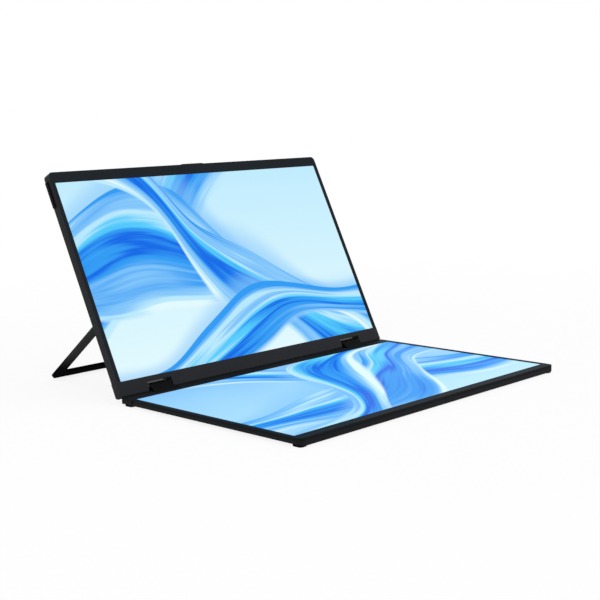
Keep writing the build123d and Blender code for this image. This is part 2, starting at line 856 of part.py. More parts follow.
def stand_foot_strip():
    """The rubber strip along the end of the crossbar, round where it meets the table."""
    end = stand_hinge_height + stand_length - stand_foot_radius
    front = stand_tray_level - 0.1
    middle = front - stand_thickness / 2
    half = stand_arm_outer - stand_corner_radius
    radius = min(stand_foot_radius, stand_thickness / 2)
    strip = block(-half, half, end, end + stand_foot_radius - radius + 0.01, front - stand_thickness, front)
    return strip + rod_x(-half, half, end + stand_foot_radius - radius, middle, radius) - block(
        -half - 1, half + 1, end - 5, end, -20, 5)


def stand_bracket(side):
    """The bracket on the chassis that carries one arm of the stand, with an ear each side of its knuckle."""
    outer = stand_arm_outer - stand_side_gap / 2
    inner = stand_arm_outer - stand_arm_width + stand_side_gap / 2
    low = stand_hinge_height - 16
    high = stand_hinge_height - stand_knuckle_radius - 0.9
    bracket = block(side * (inner - 14), side * outer, low, high, chassis_back - 0.8, chassis_back)
    for x0, x1 in ((inner, inner + stand_ear_thickness), (outer - stand_ear_thickness, outer)):
        ear = rod_x(side * x0, side * x1, stand_hinge_height, -stand_hinge_depth, stand_ear_radius)
        ear += block(side * x0, side * x1, high - 9, stand_hinge_height, -stand_hinge_depth, chassis_back)
        bracket += ear
    bracket -= rod_x(side * (inner - 1), side * (outer + 1), stand_hinge_height, -stand_hinge_depth,
                     stand_pin_radius + slip / 2)
    return bracket


def stand_pin(side):
    outer = stand_arm_outer - stand_side_gap / 2
    inner = stand_arm_outer - stand_arm_width + stand_side_gap / 2
    return rod_x(side * inner, side * outer, stand_hinge_height, -stand_hinge_depth, stand_pin_radius)


def stand_washers():
    """The friction washers between the ears and the knuckles of both arms."""
    washers = []
    for side in (-1, 1):
        middle = stand_arm_outer - stand_arm_width / 2
        for end in (-1, 1):
            start = middle + end * (stand_knuckle_width / 2 + slip)
            x0, x1 = side * start, side * (start + end * stand_washer_thickness)
            washer = rod_x(x0, x1, stand_hinge_height, -stand_hinge_depth, 1.8)
            washer -= rod_x(x0 - 1, x1 + 1, stand_hinge_height, -stand_hinge_depth, stand_pin_radius + slip)
            washers.append(washer)
    return Compound(children=washers)


# Placing. The origin is the middle of the whole object's footprint, on the table.
upper_axis_from_edge = (axis_distance * sin(radians(half_opening)) - axis_setback
                        - axis_setback * sin(radians(lean)) - axis_depth * cos(radians(lean)))
upper_axis_drop = (axis_distance * cos(radians(half_opening)) - axis_depth
                   - axis_setback * cos(radians(lean)) + axis_depth * sin(radians(lean)))
stand_axis_back = (upper_axis_from_edge + stand_hinge_height * sin(radians(lean))
                   + stand_hinge_depth * cos(radians(lean)))
stand_axis_height = (glass_height + upper_axis_drop + stand_hinge_height * cos(radians(lean))
                     - stand_hinge_depth * sin(radians(lean)))
foot_round = min(stand_foot_radius, stand_thickness / 2)
foot_offset = -(stand_tray_level - 0.1 - stand_thickness / 2) - stand_hinge_depth
foot_reach = stand_length - foot_round
foot_distance = (foot_reach ** 2 + foot_offset ** 2) ** 0.5
foot_lag = degrees(asin(foot_offset / foot_distance))
stand_slope = degrees(asin((stand_axis_height - foot_round) / foot_distance))
stand_open_angle = 90.0 - lean + stand_slope - foot_lag
stand_rear_reach = stand_axis_back + foot_distance * cos(radians(stand_slope)) + foot_round
lower_edge = (panel_height - stand_rear_reach) / 2

place_lower = Pos(0, lower_edge, glass_height) * Rot(0, 0, 180)
place_upper = Pos(0, lower_edge + upper_axis_from_edge, glass_height + upper_axis_drop) * Rot(90 - lean, 0, 0)
place_stand = (place_upper * Pos(0, stand_hinge_height, -stand_hinge_depth) * Rot(-stand_open_angle, 0, 0)
               * Pos(0, -stand_hinge_height, stand_hinge_depth))

left, right = -1, 1
foot_ends = [(side, y) for side in (-1, 1)
             for y in (foot_chin_margin, panel_height - foot_free_margin - foot_length)]
pad_ends = [(side, y) for side in (-1, 1)
            for y in (pad_chin_margin, panel_height - pad_free_margin - pad_length)]

lower_nodes = {
    "lower_front_bezel": front_bezel(lower_form, lower_thickness, lower_floor, lower_screw_places()),
    "lower_bottom_cover": bottom_cover(),
    "lower_lcd_cell": lcd_cell(),
    "lower_backlight": backlight(),
    "lower_led_bar": led_bar(),
    "lower_chassis": chassis_with_screw_holes(),
    "lower_driver_board": driver_board(),
    "lower_display_ribbon": mirror(display_ribbon(), Plane.YZ),
    "lower_rubber_feet": rubber_pads(lower_form, lower_thickness, foot_inset, foot_length, foot_ends),
    "lower_cover_screws": cover_screws(lower_thickness, lower_screw_places()),
    "lower_bracket_screws": bracket_screws(),
    "lower_hinge_bracket_left": hinge_bracket(right),
    "lower_hinge_bracket_right": hinge_bracket(left),
    "lower_hinge_shaft_left": hinge_shaft(right),
    "lower_hinge_shaft_right": hinge_shaft(left),
    "lower_friction_washers": friction_washers(),
    "lower_retaining_clips": retaining_clips(),
}

link_nodes = {
    "hinge_link_left": hinge_link(left),
    "hinge_link_right": hinge_link(right),
}

upper_nodes = {
    "upper_front_bezel": front_bezel(upper_form, upper_thickness, upper_floor, upper_screw_places()),
    "upper_back_cover": back_cover(),
    "upper_lcd_cell": lcd_cell(),
    "upper_backlight": backlight(),
    "upper_led_bar": led_bar(),
    "upper_chassis": chassis_with_screw_holes(),
    "upper_driver_board": driver_board(),
    "upper_display_ribbon": display_ribbon(),
    "rear_rubber_pads": rubber_pads(upper_form, upper_thickness, pad_inset, pad_length, pad_ends),
    "upper_cover_screws": cover_screws(upper_thickness, upper_screw_places()),
    "upper_bracket_screws": bracket_screws(),
    "upper_hinge_bracket_left": hinge_bracket(left),
    "upper_hinge_bracket_right": hinge_bracket(right),
    "upper_hinge_shaft_left": hinge_shaft(left),
    "upper_hinge_shaft_right": hinge_shaft(right),
    "upper_friction_washers": friction_washers(),
    "upper_retaining_clips": retaining_clips(),
    "main_board": main_board(),
    "board_shield": board_shield(),
    "port_board": port_board(),
    "port_ribbon": port_ribbon(),
    "usb_c_sockets": usb_c_sockets(),
    "mini_hdmi_socket": mini_hdmi_socket(),
    "speaker_left": speaker(left),
    "speaker_right": speaker(right),
    "rocker_key": rocker_key(),
    "rocker_pin": rocker_pin(),
    "key_board": key_board(),
    "power_key": power_key(),
    "power_switch": power_switch(),
    "status_light": status_light(),
    "lift_tab": lift_tab(),
    "stand_bracket_left": stand_bracket(left),
    "stand_bracket_right": stand_bracket(right),
    "stand_pin_left": stand_pin(left),
    "stand_pin_right": stand_pin(right),
    "stand_washers": stand_washers(),
}

stand_nodes = {
    "stand_frame": stand_frame(),
    "stand_foot_strip": stand_foot_strip(),
}

os.makedirs("parts", exist_ok=True)
for nodes, place in ((lower_nodes, place_lower), (link_nodes, Pos(0, 0, 0)), (upper_nodes, place_upper),
                     (stand_nodes, place_stand)):
    for name, shape in nodes.items():
        export_step(place * shape, f"parts/{name}.step")

first_axis, second_axis = hinge_axes()
print("lower hinge axis y, z", [round(v, 4) for v in first_axis])
print("upper hinge axis y, z", [round(v, 4) for v in second_axis])
print("stand axis y, z", round(lower_edge + stand_axis_back, 4), round(stand_axis_height, 4))
print("stand opened by", round(stand_open_angle, 3), "slope", round(stand_slope, 3))
print("hinge edge y", round(lower_edge, 4), "glass z", round(glass_height, 4), "lean", round(lean, 3))
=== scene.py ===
"""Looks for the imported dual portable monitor: materials, small detail pieces, studio and camera."""

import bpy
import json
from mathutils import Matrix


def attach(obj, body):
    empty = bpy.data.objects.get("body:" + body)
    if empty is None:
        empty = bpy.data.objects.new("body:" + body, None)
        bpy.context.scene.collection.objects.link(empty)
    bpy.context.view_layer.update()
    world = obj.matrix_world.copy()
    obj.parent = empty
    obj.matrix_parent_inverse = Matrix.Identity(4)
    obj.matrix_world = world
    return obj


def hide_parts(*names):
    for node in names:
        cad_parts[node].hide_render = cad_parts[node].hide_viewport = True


bl_info = {
    "name": "Dual Portable Monitor",
    "version": (1, 0, 0),
    "blender": (4, 5, 0),
    "location": "3D View > Sidebar > Monitor",
    "description": "Dresses a packed dual portable monitor with materials, fine details and a studio",
    "category": "Object",
}

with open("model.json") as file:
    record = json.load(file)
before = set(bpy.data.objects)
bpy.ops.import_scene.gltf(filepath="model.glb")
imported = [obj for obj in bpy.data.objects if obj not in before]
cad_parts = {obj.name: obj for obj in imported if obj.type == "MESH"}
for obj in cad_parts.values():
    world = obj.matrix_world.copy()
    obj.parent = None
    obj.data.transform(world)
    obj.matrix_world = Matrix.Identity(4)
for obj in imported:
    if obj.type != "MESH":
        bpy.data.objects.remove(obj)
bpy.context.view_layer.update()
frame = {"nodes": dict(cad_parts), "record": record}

import json
import math

import bpy
from bpy.props import FloatProperty, FloatVectorProperty, IntProperty, PointerProperty
from mathutils import Matrix, Vector

HAIR = 0.00001  # keeps the faces of a detail off those of the solid that carries it
SHARP = 0.0002  # radius of the corners that look sharp
DUST = (0.55, 0.54, 0.52, 1.0)
DARK_GLASS = (0.004, 0.004, 0.005, 1.0)
WHITE = (1.0, 1.0, 1.0, 1.0)
BLACK = (0.0, 0.0, 0.0, 1.0)


def length(name, description, default, high=1.0, low=0.0):
    """A size in metres for the sidebar."""
    return FloatProperty(name=name, description=description, default=default, min=low, max=high,
                         precision=5, unit="LENGTH", subtype="DISTANCE")


def share(name, description, default, high=1.0):
    """A plain number from 0 up for the sidebar."""
    return FloatProperty(name=name, description=description, default=default, min=0.0, max=high,
                         precision=4)


def tint(name, description, default):
    """A colour for the sidebar."""
    return FloatVectorProperty(name=name, description=description, default=default, size=3,
                               min=0.0, max=1.0, subtype="COLOR")


def turn(name, description, degrees):
    """An angle for the sidebar, given in degrees."""
    return FloatProperty(name=name, description=description, default=math.radians(degrees),
                         unit="ROTATION", subtype="ANGLE")


class DisplaySizes(bpy.types.PropertyGroup):
    """Sizes of the displays that the details are fitted to."""
    hinge_edge: length("Hinge Edge", "From the middle back to the lower hinge edge", 0.0365379)
    glass_height: length("Glass Height", "Height of the lower glass over the table", 0.0074)
    edge_shift_back: length("Edge Shift Back", "Upper hinge edge behind the lower one", -0.0005709, low=-1.0)
    edge_shift_up: length("Edge Shift Up", "Upper hinge edge over the lower glass", -0.0003574, low=-1.0)
    lean: turn("Lean", "How far the upper display leans back from upright", 25.9)
    screen_width: length("Screen Width", "Lit width of each screen", 0.3442)
    screen_height: length("Screen Height", "Lit height of each screen", 0.1936)
    chin: length("Chin", "From the hinge edge to the lit screen", 0.014)
    panel_height: length("Panel Height", "From the hinge edge to the free edge", 0.2179)
    half_width: length("Half Width", "Half the width of each display", 0.1764)
    lower_thickness: length("Lower Thickness", "Thickness of the lower display", 0.0068)
    upper_thickness: length("Upper Thickness", "Thickness of the upper display", 0.0083)
    stand_hinge: length("Stand Hinge", "From the hinge edge to the stand's axis", 0.0862)
    stand_depth: length("Stand Depth", "How deep the stand's axis lies behind the glass", 0.00595)
    stand_angle: turn("Stand Angle", "How far the stand is opened", 102.4)
    # The stand's far end is darkened with painted shade, which fades in over the next two sizes.
    shade_start: length("Shade Start", "Where the stand's painted shade fades in", 0.165)
    shade_full: length("Shade Full", "Where the stand's painted shade is whole", 0.200)


class ScreenLook(bpy.types.PropertyGroup):
    """Colours and flow of the lit screens."""
    pale: tint("Pale", "Background of the picture", (0.50, 0.82, 0.985))
    sky: tint("Sky", "Light blue of the bands", (0.22, 0.56, 0.96))
    cyan: tint("Cyan", "Green-blue of the bands", (0.09, 0.60, 0.97))
    azure: tint("Azure", "Middle blue of the bands", (0.030, 0.33, 0.90))
    deep: tint("Deep", "Darkest blue in the folds", (0.006, 0.14, 0.80))
    white: tint("White", "Crests of the bands", (0.76, 0.95, 0.99))
    shine: share("Screen Shine", "Strength of the screens' reflections", 0.006)
    fold_shade: share("Fold Shade", "How dark the ground turns beside a band's crisp edge", 0.55)
    brightness: share("Brightness", "Strength of the lit screens", 1.0, 4.0)
    streaks: share("Streaks", "How strongly fine streaks follow the bands", 0.26)
    folds: share("Folds", "How strongly broad folds follow the bands", 0.75)
    warp: share("Warp", "How far the slow noise bends the bands, in screen heights", 0.27)
    coat_roughness: share("Film Roughness", "Roughness of the anti-glare film", 0.22)


class ShellLook(bpy.types.PropertyGroup):
    """Finish of the moulded shells."""
    bezel: tint("Bezel", "Colour of the upper bezel", (0.0145, 0.0150, 0.0180))
    # The lower bezel's colour is the bezel plastic drawn darker: painted shade.
    lower_bezel_shade: tint("Lower Bezel", "Colour of the lower bezel", (0.0070, 0.0085, 0.0105))
    cover: tint("Cover", "Colour of the back cover", (0.0125, 0.0132, 0.0148))
    # The bottom cover's colour is the cover plastic drawn darker: painted shade.
    lower_cover_shade: tint("Lower Cover", "Colour of the bottom cover", (0.0075, 0.0082, 0.0095))
    border: tint("Border", "Colour of the upper border film", (0.0165, 0.0205, 0.0250))
    # The lower film's colour is the border film drawn darker: painted shade.
    lower_border_shade: tint("Lower Border", "Colour of the lower border film", (0.0060, 0.0110, 0.0160))
    worn: tint("Worn Edge", "Colour of rubbed edges", (0.045, 0.046, 0.050))
    bezel_roughness: share("Bezel Roughness", "Roughness of the bezels", 0.50)
    cover_roughness: share("Cover Roughness", "Roughness of the rear shells", 0.50)
    shine: share("Shine", "Strength of the shells' reflections", 0.10)
    grain_size: length("Grain Size", "Size of the moulded texture's grains", 0.00028)
    grain_depth: share("Grain Depth", "Strength of the moulded texture", 0.18)
    wear_width: length("Wear Width", "How far wear reaches from an edge", 0.0004)
    wear: share("Wear", "Strength of the wear along edges", 0.35)


class MetalLook(bpy.types.PropertyGroup):
    """Finish of the metal pieces."""
    stand: tint("Stand", "Colour of the anodised stand", (0.034, 0.0345, 0.0355))
    # The stand end's colour is painted shade: the far end is drawn darker than the arms.
    stand_end_shade: tint("Stand End", "Colour of the stand's shade-darkened end", (0.0030, 0.0030, 0.0038))
    stand_shine: share("Stand Shine", "Strength of the stand's reflections", 0.008)
    stand_end_roughness: share("Stand End Roughness", "Roughness of the shade-darkened end", 0.85)
    # The links' near-black colour is partly their own dark finish and partly painted shade of the hinge
    # cut-outs.
    link: tint("Hinge Link", "Colour of the hinge links", (0.0016, 0.0016, 0.0020))
    link_shine: share("Link Shine", "Strength of the links' reflections", 0.03)
    shaft: tint("Shafts", "Colour of the blackened shafts, washers and clips", (0.055, 0.052, 0.055))
    hinge_edge: tint("Hinge Edge", "Colour of the steel edges in the hinge cut-outs", (0.14, 0.135, 0.14))
    steel: tint("Steel", "Colour of bare steel", (0.46, 0.46, 0.47))
    aluminium: tint("Aluminium", "Colour of the chassis sheet", (0.66, 0.67, 0.69))
    tin: tint("Tin", "Colour of the tinned shield", (0.70, 0.70, 0.68))
    plated: tint("Plated", "Colour of the socket shells", (0.62, 0.62, 0.63))
    gold: tint("Gold", "Colour of the contacts", (0.83, 0.60, 0.25))
    black_steel: tint("Black Steel", "Colour of the coated screws", (0.012, 0.012, 0.014))
    streak_width: length("Streak Width", "Width of the rolled or brushed streaks", 0.00012)
    streak_length: length("Streak Length", "Length of the rolled or brushed streaks", 0.006)


class SmallLook(bpy.types.PropertyGroup):
    """Finish of rubber, keys, boards and films."""
    rubber: tint("Rubber", "Colour of feet, pads, strip and tab", (0.0045, 0.0045, 0.0052))
    rubber_shine: share("Rubber Shine", "Strength of the rubber's reflections", 0.02)
    key: tint("Keys", "Colour of the rocker and the power key", (0.0035, 0.0037, 0.0045))
    key_shine: share("Key Shine", "Strength of the keys' reflections", 0.06)
    speaker: tint("Speakers", "Colour of the speaker boxes", (0.014, 0.014, 0.016))
    board: tint("Board", "Colour of the solder mask", (0.012, 0.10, 0.05))
    copper: tint("Copper", "Colour of the tracks under the mask", (0.03, 0.20, 0.09))
    film: tint("Ribbon Film", "Colour of the ribbons", (0.42, 0.17, 0.03))
    lamp_strip: tint("Lamp Strip", "Colour of the lamp strips", (0.74, 0.72, 0.62))
    guide: tint("Light Guide", "Colour of the light guides", (0.86, 0.89, 0.92))
    pipe: tint("Light Pipe", "Colour of the status light", (0.70, 0.78, 0.85))
    gasket: tint("Gasket", "Colour of the strip round the glass", (0.006, 0.006, 0.007))


class DetailSizes(bpy.types.PropertyGroup):
    """Sizes of the small pieces that are modelled here."""
    lcd_depth: length("LCD Depth", "How deep the LCD lies behind the bezel's face", 0.00045)
    gasket_width: length("Gasket Width", "Width of the strip round the glass", 0.0005)
    gasket_height: length("Gasket Height", "Height of the strip over the LCD", 0.00025)
    gasket_corner: length("Gasket Corner", "Radius of the strip's corners", 0.0008)
    border_rim: length("Border Rim", "From the border film to the display's outline", 0.0007)
    border_start: length("Border Start", "From the hinge edge to the border film", 0.0153)
    border_corner: length("Border Corner", "Radius of the film's outer corners", 0.0043)
    border_height: length("Border Height", "Thickness of the border film", 0.00012)
    screw_radius: length("Screw Radius", "Radius of the cover screws' heads", 0.0018)
    screw_height: length("Screw Height", "Height of the cover screws' heads", 0.0007)
    screw_chamfer: length("Screw Chamfer", "Chamfer round the screw heads", 0.00018)
    screw_slot: length("Screw Slot", "Width of the cross recess", 0.0004)
    screw_slot_length: length("Screw Slot Length", "Length of the cross recess", 0.0022)
    screw_slot_depth: length("Screw Slot Depth", "Depth of the cross recess", 0.00038)
    shank_radius: length("Shank Radius", "Radius of the screws' shanks", 0.0008)
    shank_margin: length("Shank Margin", "How much shorter a shank is than its display is thick", 0.0025)
    chin_screws: length("Chin Screws", "From the hinge edge to the screws in the chin", 0.0065)
    free_screws: length("Free Edge Screws", "From the free edge to the screws along it", 0.00485)
    ridge_count: IntProperty(name="Ridge Count", description="Ridges on the lift tab", default=17,
                             min=1, max=60)
    ridge_pitch: length("Ridge Pitch", "Distance between the lift tab's ridges", 0.0015)
    ridge_width: length("Ridge Width", "Width of the lift tab's ridges", 0.0005)
    ridge_height: length("Ridge Height", "Height of the lift tab's ridges", 0.00012)
    ridge_length: length("Ridge Length", "Length of the lift tab's ridges", 0.0017)
    tab_proud: length("Tab Proud", "How far the lift tab stands out of the top edge", 0.0012)
    tab_depth: length("Tab Depth", "How deep the lift tab's middle lies behind the glass", 0.00295)
    hinge_centre: length("Hinge Centre", "From the middle to the middle of a hinge cut-out", 0.130)
    edge_shift: length("Edge Shift", "Steel edge from the cut-out's middle", -0.0035, low=-1.0)
    edge_start: length("Edge Start", "From the hinge edge to the steel edge in a cut-out", 0.0088)
    edge_width: length("Edge Width", "Width of that steel edge", 0.00085)
    edge_length: length("Edge Length", "Length of that steel edge", 0.0185)
    edge_depth: length("Edge Depth", "How deep that steel edge lies behind the glass", 0.0018)
    edge_height: length("Edge Height", "Thickness of that steel edge", 0.00012)
    contact_length: length("Contact Length", "Length of a socket's contact", 0.0042)
    contact_height: length("Contact Height", "Height of a socket's contact", 0.00006)
    contact_end: length("Contact End", "From the display's side to the contacts' ends", 0.0020)
    socket_depth: length("Socket Depth", "How deep the sockets' middles lie behind the glass", 0.00525)


class StageSettings(bpy.types.PropertyGroup):
    """Camera, floor and lamps."""
    camera_place: FloatVectorProperty(name="Camera Place", description="Where the camera stands", size=3,
                                      default=(-0.82740, -0.81158, 0.25321), precision=5, unit="LENGTH",
                                      subtype="XYZ_LENGTH")
    azimuth: turn("Azimuth", "Camera's turn round the object", -46.06)
    elevation: turn("Elevation", "Camera's height angle", 8.72)
    roll: turn("Roll", "Camera's roll", -1.163)
    focal_length: FloatProperty(name="Focal Length", description="Lens for a 36 mm film", default=73.81,
                                unit="CAMERA", min=10.0, max=300.0)
    floor_size: length("Floor Size", "Side of the floor", 14.0, 40.0)
    floor_colour: tint("Floor Colour", "Colour of the floor", (0.90, 0.90, 0.90))
    floor_white: share("Floor White", "Share of the plain white world that shows through the floor", 0.86)
    floor_near: length("Floor Near", "Up to here from the middle the floor has that share", 0.25, 40.0)
    floor_far: length("Floor Far", "From here on the floor is plain white", 1.1, 40.0)
    world_light: share("World Light", "Strength of the light from all round", 0.72, 4.0)
    key_power: share("Key Power", "Watts of the large lamp on the left", 12.0, 500.0)
    fill_power: share("Fill Power", "Watts of the lamp on the right", 3.0, 500.0)
    top_power: share("Top Power", "Watts of the lamp overhead", 6.0, 500.0)
    back_power: share("Back Power", "Watts of the lamp behind", 4.0, 500.0)


class MonitorSettings(bpy.types.PropertyGroup):
    """All settings of the monitor."""
    sizes: PointerProperty(type=DisplaySizes)
    screen: PointerProperty(type=ScreenLook)
    shell: PointerProperty(type=ShellLook)
    metal: PointerProperty(type=MetalLook)
    small: PointerProperty(type=SmallLook)
    detail: PointerProperty(type=DetailSizes)
    stage: PointerProperty(type=StageSettings)


def settings(context):
    return context.scene.dual_monitor


# The cover screws of each display, from its middle: those in the chin, and those along the free edge
SCREWS = {"lower": ((-0.1635, -0.080, 0.0, 0.080, 0.1635), (-0.162, -0.060, 0.060, 0.162)),
          "upper": ((-0.167, -0.062, 0.0, 0.062, 0.167), (-0.164, 0.164))}

# Rows of contacts: the piece, contacts in a row, their pitch and width, how far the rows lie over
# and under the socket's middle, and how far the sockets are from the hinge edge
CONTACT_ROWS = (("usb_c_contacts", 12, 0.0005, 0.00026, 0.00035, (0.040, 0.062)),
                ("mini_hdmi_contacts", 10, 0.0007, 0.00032, 0.0003, (0.088,)))

# The bands of each picture: the degrees that each is turned by, then its Flow Band values
BAND_VALUES = ("Start", "Sway", "Waves", "Phase", "Width", "Pinch", "Softness", "Seed", "Shift")
UPPER_BANDS = ((-24, 0.86, 0.16, 2.3, 0.6, 0.17, 0.35, 0.22, 3.0, 0.06),
               (16, 0.30, 0.20, 2.6, 2.3, 0.24, 0.42, 0.10, 7.0, 0.0),
               (34, 0.55, 0.13, 3.4, 4.4, 0.15, 0.5, 0.16, 12.0, -0.08),
               (-8, 0.10, 0.10, 3.0, 1.1, 0.13, 0.3, 0.3, 17.0, 0.1))
LOWER_BANDS = ((20, 0.72, 0.18, 2.2, 3.6, 0.20, 0.3, 0.2, 23.0, 0.04),
               (-18, 0.42, 0.17, 2.7, 5.3, 0.22, 0.4, 0.1, 29.0, 0.0),
               (-38, 0.48, 0.12, 3.2, 0.4, 0.14, 0.45, 0.18, 31.0, -0.06))

# The lamps: name, place and width
LAMPS = (("key", (-1.7, -0.9, 1.5), 1.3), ("fill", (1.6, -1.3, 1.0), 1.4),
         ("top", (0.1, 0.1, 2.1), 1.6), ("back", (0.4, 1.9, 1.2), 1.4))
LAMP_TARGET = Vector((0, 0, 0.08))


# Places of the displays. Each has a frame of its own: X along the hinge, Y from the hinge edge to
# the free edge, Z out of the glass.

def lower_frame(sizes):
    return Matrix.Translation((0, sizes.hinge_edge, sizes.glass_height)) @ Matrix.Rotation(math.pi, 4, "Z")


def upper_frame(sizes):
    edge = (0, sizes.hinge_edge + sizes.edge_shift_back, sizes.glass_height + sizes.edge_shift_up)
    return Matrix.Translation(edge) @ Matrix.Rotation(math.pi / 2 - sizes.lean, 4, "X")


def displays(sizes):
    """Both displays: (side, body, frame)."""
    return (("upper", "upper_display", upper_frame(sizes)), ("lower", "lower_display", lower_frame(sizes)))


def stand_frame(sizes):
    """The frame of the opened stand, in which it lies as if it were folded into the upper display."""
    axis = Matrix.Translation((0, sizes.stand_hinge, -sizes.stand_depth))
    return upper_frame(sizes) @ axis @ Matrix.Rotation(-sizes.stand_angle, 4, "X") @ axis.inverted()


def local_values(place):
    """The Mapping node's values that bring object coordinates into a frame."""
    back = place.inverted()
    return {"Location": back.to_translation(), "Rotation": back.to_euler()}


# Node trees

FLOAT = "NodeSocketFloat"
COLOUR = "NodeSocketColor"
VECTOR = "NodeSocketVector"


class NodeKit:
    """Adds nodes to one tree and joins their sockets."""

    def __init__(self, tree):
        self.tree = tree

    def feed(self, socket, value):
        """Gives a socket a value, a link, or a list of links."""
        if isinstance(value, list):
            for item in value:
                self.feed(socket, item)
        elif isinstance(value, bpy.types.NodeSocket):
            self.tree.links.new(value, socket)
        else:
            socket.default_value = value

    def fill(self, node, inputs):
        """Feeds a node's inputs, each by its name or number."""
        for key, value in inputs.items():
            self.feed(node.inputs[key], value)

    def add(self, kind, inputs=None, **options):
        node = self.tree.nodes.new(kind)
        for name, value in options.items():
            setattr(node, name, value)
        self.fill(node, inputs or {})
        return node

    def out(self, kind, output, inputs=None, **options):
        """Adds a node and gives one of its outputs, by name or number."""
        return self.add(kind, inputs, **options).outputs[output]

    def math(self, operation, *values):
        return self.out("ShaderNodeMath", 0, dict(enumerate(values)), operation=operation)

    def times(self, first, second):
        return self.math("MULTIPLY", first, second)

    def plus(self, first, second):
        return self.math("ADD", first, second)

    def minus(self, first, second):
        return self.math("SUBTRACT", first, second)

    def over(self, first, second):
        return self.math("DIVIDE", first, second)

    def vector_math(self, operation, *values, output="Vector"):
        return self.out("ShaderNodeVectorMath", output, dict(enumerate(values)), operation=operation)

    def combine(self, x=0.0, y=0.0, z=0.0):
        return self.out("ShaderNodeCombineXYZ", "Vector", {"X": x, "Y": y, "Z": z})

    def blend(self, factor, first, second):
        """Colour between two colours: a Mix node's sockets 6 and 7 are its colours, and 2 their mix."""
        return self.out("ShaderNodeMix", 2, {0: factor, 6: first, 7: second}, data_type="RGBA")

    def remap(self, value, low, high, new_low, new_high, smooth=False):
        inputs = {"Value": value, "From Min": low, "From Max": high, "To Min": new_low, "To Max": new_high}
        kind = "SMOOTHSTEP" if smooth else "LINEAR"
        return self.out("ShaderNodeMapRange", "Result", inputs, interpolation_type=kind, clamp=True)

    def noise(self, vector, scale, detail=2.0, roughness=0.5, output="Fac"):
        inputs = {"Vector": vector, "Scale": scale, "Detail": detail, "Roughness": roughness}
        return self.out("ShaderNodeTexNoise", output, inputs)

    def object_place(self):
        return self.out("ShaderNodeTexCoord", "Object")

    def mapped(self, vector, **values):
        """A place that is moved, turned and scaled."""
        return self.out("ShaderNodeMapping", "Vector", {"Vector": vector, **values})

    def bump(self, height, strength, distance):
        inputs = {"Height": height, "Strength": strength, "Distance": distance}
        return self.out("ShaderNodeBump", "Normal", inputs)

    def group(self, name, build, values):
        """The outputs of a shared node group, which is built on first use, with its own values."""
        tree = bpy.data.node_groups.get(name) or build(name)
        return self.add("ShaderNodeGroup", values, node_tree=tree).outputs

    def shifted(self, geometry, **values):
        """Geometry that is moved, turned or scaled."""
        return self.out("GeometryNodeTransform", "Geometry", {"Geometry": geometry, **values})

    def placed(self, points, instance):
        """A copy of the instance on every point."""
        inputs = {"Points": points, "Instance": instance}
        return self.out("GeometryNodeInstanceOnPoints", "Instances", inputs)

    def merged(self, operation, inputs):
        """Closed meshes that are united or cut."""
        return self.out("GeometryNodeMeshBoolean", "Mesh", inputs, operation=operation, solver="EXACT")


def opaque(colour, factor=1.0):
    """A colour with full alpha, made lighter or darker by a factor."""
    return (*(factor * value for value in colour), 1.0)


# Effects that materials share, as shader node groups

def shader_group(name, inputs, outputs):
    """A new shader node group: (tree, kit, its inputs' sockets, its output node)."""
    tree = bpy.data.node_groups.new(name, "ShaderNodeTree")
    for label, default in inputs.items():
        kind = VECTOR if isinstance(default, tuple) else FLOAT
        tree.interface.new_socket(name=label, in_out="INPUT", socket_type=kind).default_value = default
    for label in outputs:
        kind = COLOUR if label == "Color" else FLOAT
        tree.interface.new_socket(name=label, in_out="OUTPUT", socket_type=kind)
    kit = NodeKit(tree)
    return tree, kit, kit.add("NodeGroupInput").outputs, kit.add("NodeGroupOutput")


def build_edge_mask(name):
    """Where the surface turns sharply, broken up by noise."""
    tree, kit, given, result = shader_group(
        name, {"Width": 0.0004, "Amount": 0.5, "Patch Size": 0.004}, ("Mask",))
    rounded = kit.out("ShaderNodeBevel", "Normal", {"Radius": given["Width"]}, samples=4)
    straight = kit.out("ShaderNodeNewGeometry", "Normal")
    along = kit.vector_math("DOT_PRODUCT", rounded, straight, output="Value")
    edge = kit.remap(along, 0.995, 0.86, 0.0, 1.0)
    patches = kit.noise(kit.object_place(), kit.over(1.0, given["Patch Size"]), 5.0, 0.62)
    broken = kit.remap(patches, 0.36, 0.64, 0.15, 1.0)
    kit.fill(result, {"Mask": kit.times(kit.times(edge, broken), given["Amount"])})
    return tree


def build_grain(name):
    """Spark-eroded texture of a mould: rounded grains with finer noise between them."""
    tree, kit, given, result = shader_group(
        name, {"Size": 0.0003, "Roughness": 0.45, "Spread": 0.08}, ("Height", "Roughness"))
    place = kit.object_place()
    scale = kit.over(1.0, given["Size"])
    grains = kit.out("ShaderNodeTexVoronoi", "Distance", {"Vector": place, "Scale": scale, "Randomness": 1.0},
                     feature="SMOOTH_F1")
    fine = kit.noise(place, kit.times(scale, 1.7), 3.0, 0.6)
    broad = kit.noise(place, 38.0, 4.0, 0.55)
    uneven = kit.times(kit.minus(broad, 0.5), given["Spread"])
    kit.fill(result, {"Height": kit.plus(kit.times(grains, -0.8), kit.times(fine, 0.6)),
                      "Roughness": kit.plus(given["Roughness"], uneven)})
    return tree


def build_streaks(name):
    """Fine streaks along one direction, as rolling or brushing leaves them."""
    tree, kit, given, result = shader_group(
        name, {"Width": 0.00012, "Length": 0.006, "Turn": (0, 0, 0), "Roughness": 0.3, "Spread": 0.12},
        ("Height", "Roughness", "Shade"))
    turned = kit.out("ShaderNodeVectorRotate", "Vector", {
        "Vector": kit.object_place(), "Rotation": given["Turn"]}, rotation_type="EULER_XYZ")
    across = kit.over(1.0, given["Width"])
    scale = kit.combine(kit.over(1.0, given["Length"]), across, across)
    streak = kit.noise(kit.vector_math("MULTIPLY", turned, scale), 1.0, 3.0, 0.6)
    uneven = kit.times(kit.minus(streak, 0.5), given["Spread"])
    kit.fill(result, {"Height": streak, "Roughness": kit.plus(given["Roughness"], uneven),
                      "Shade": kit.remap(streak, 0.25, 0.75, 0.86, 1.1)})
    return tree


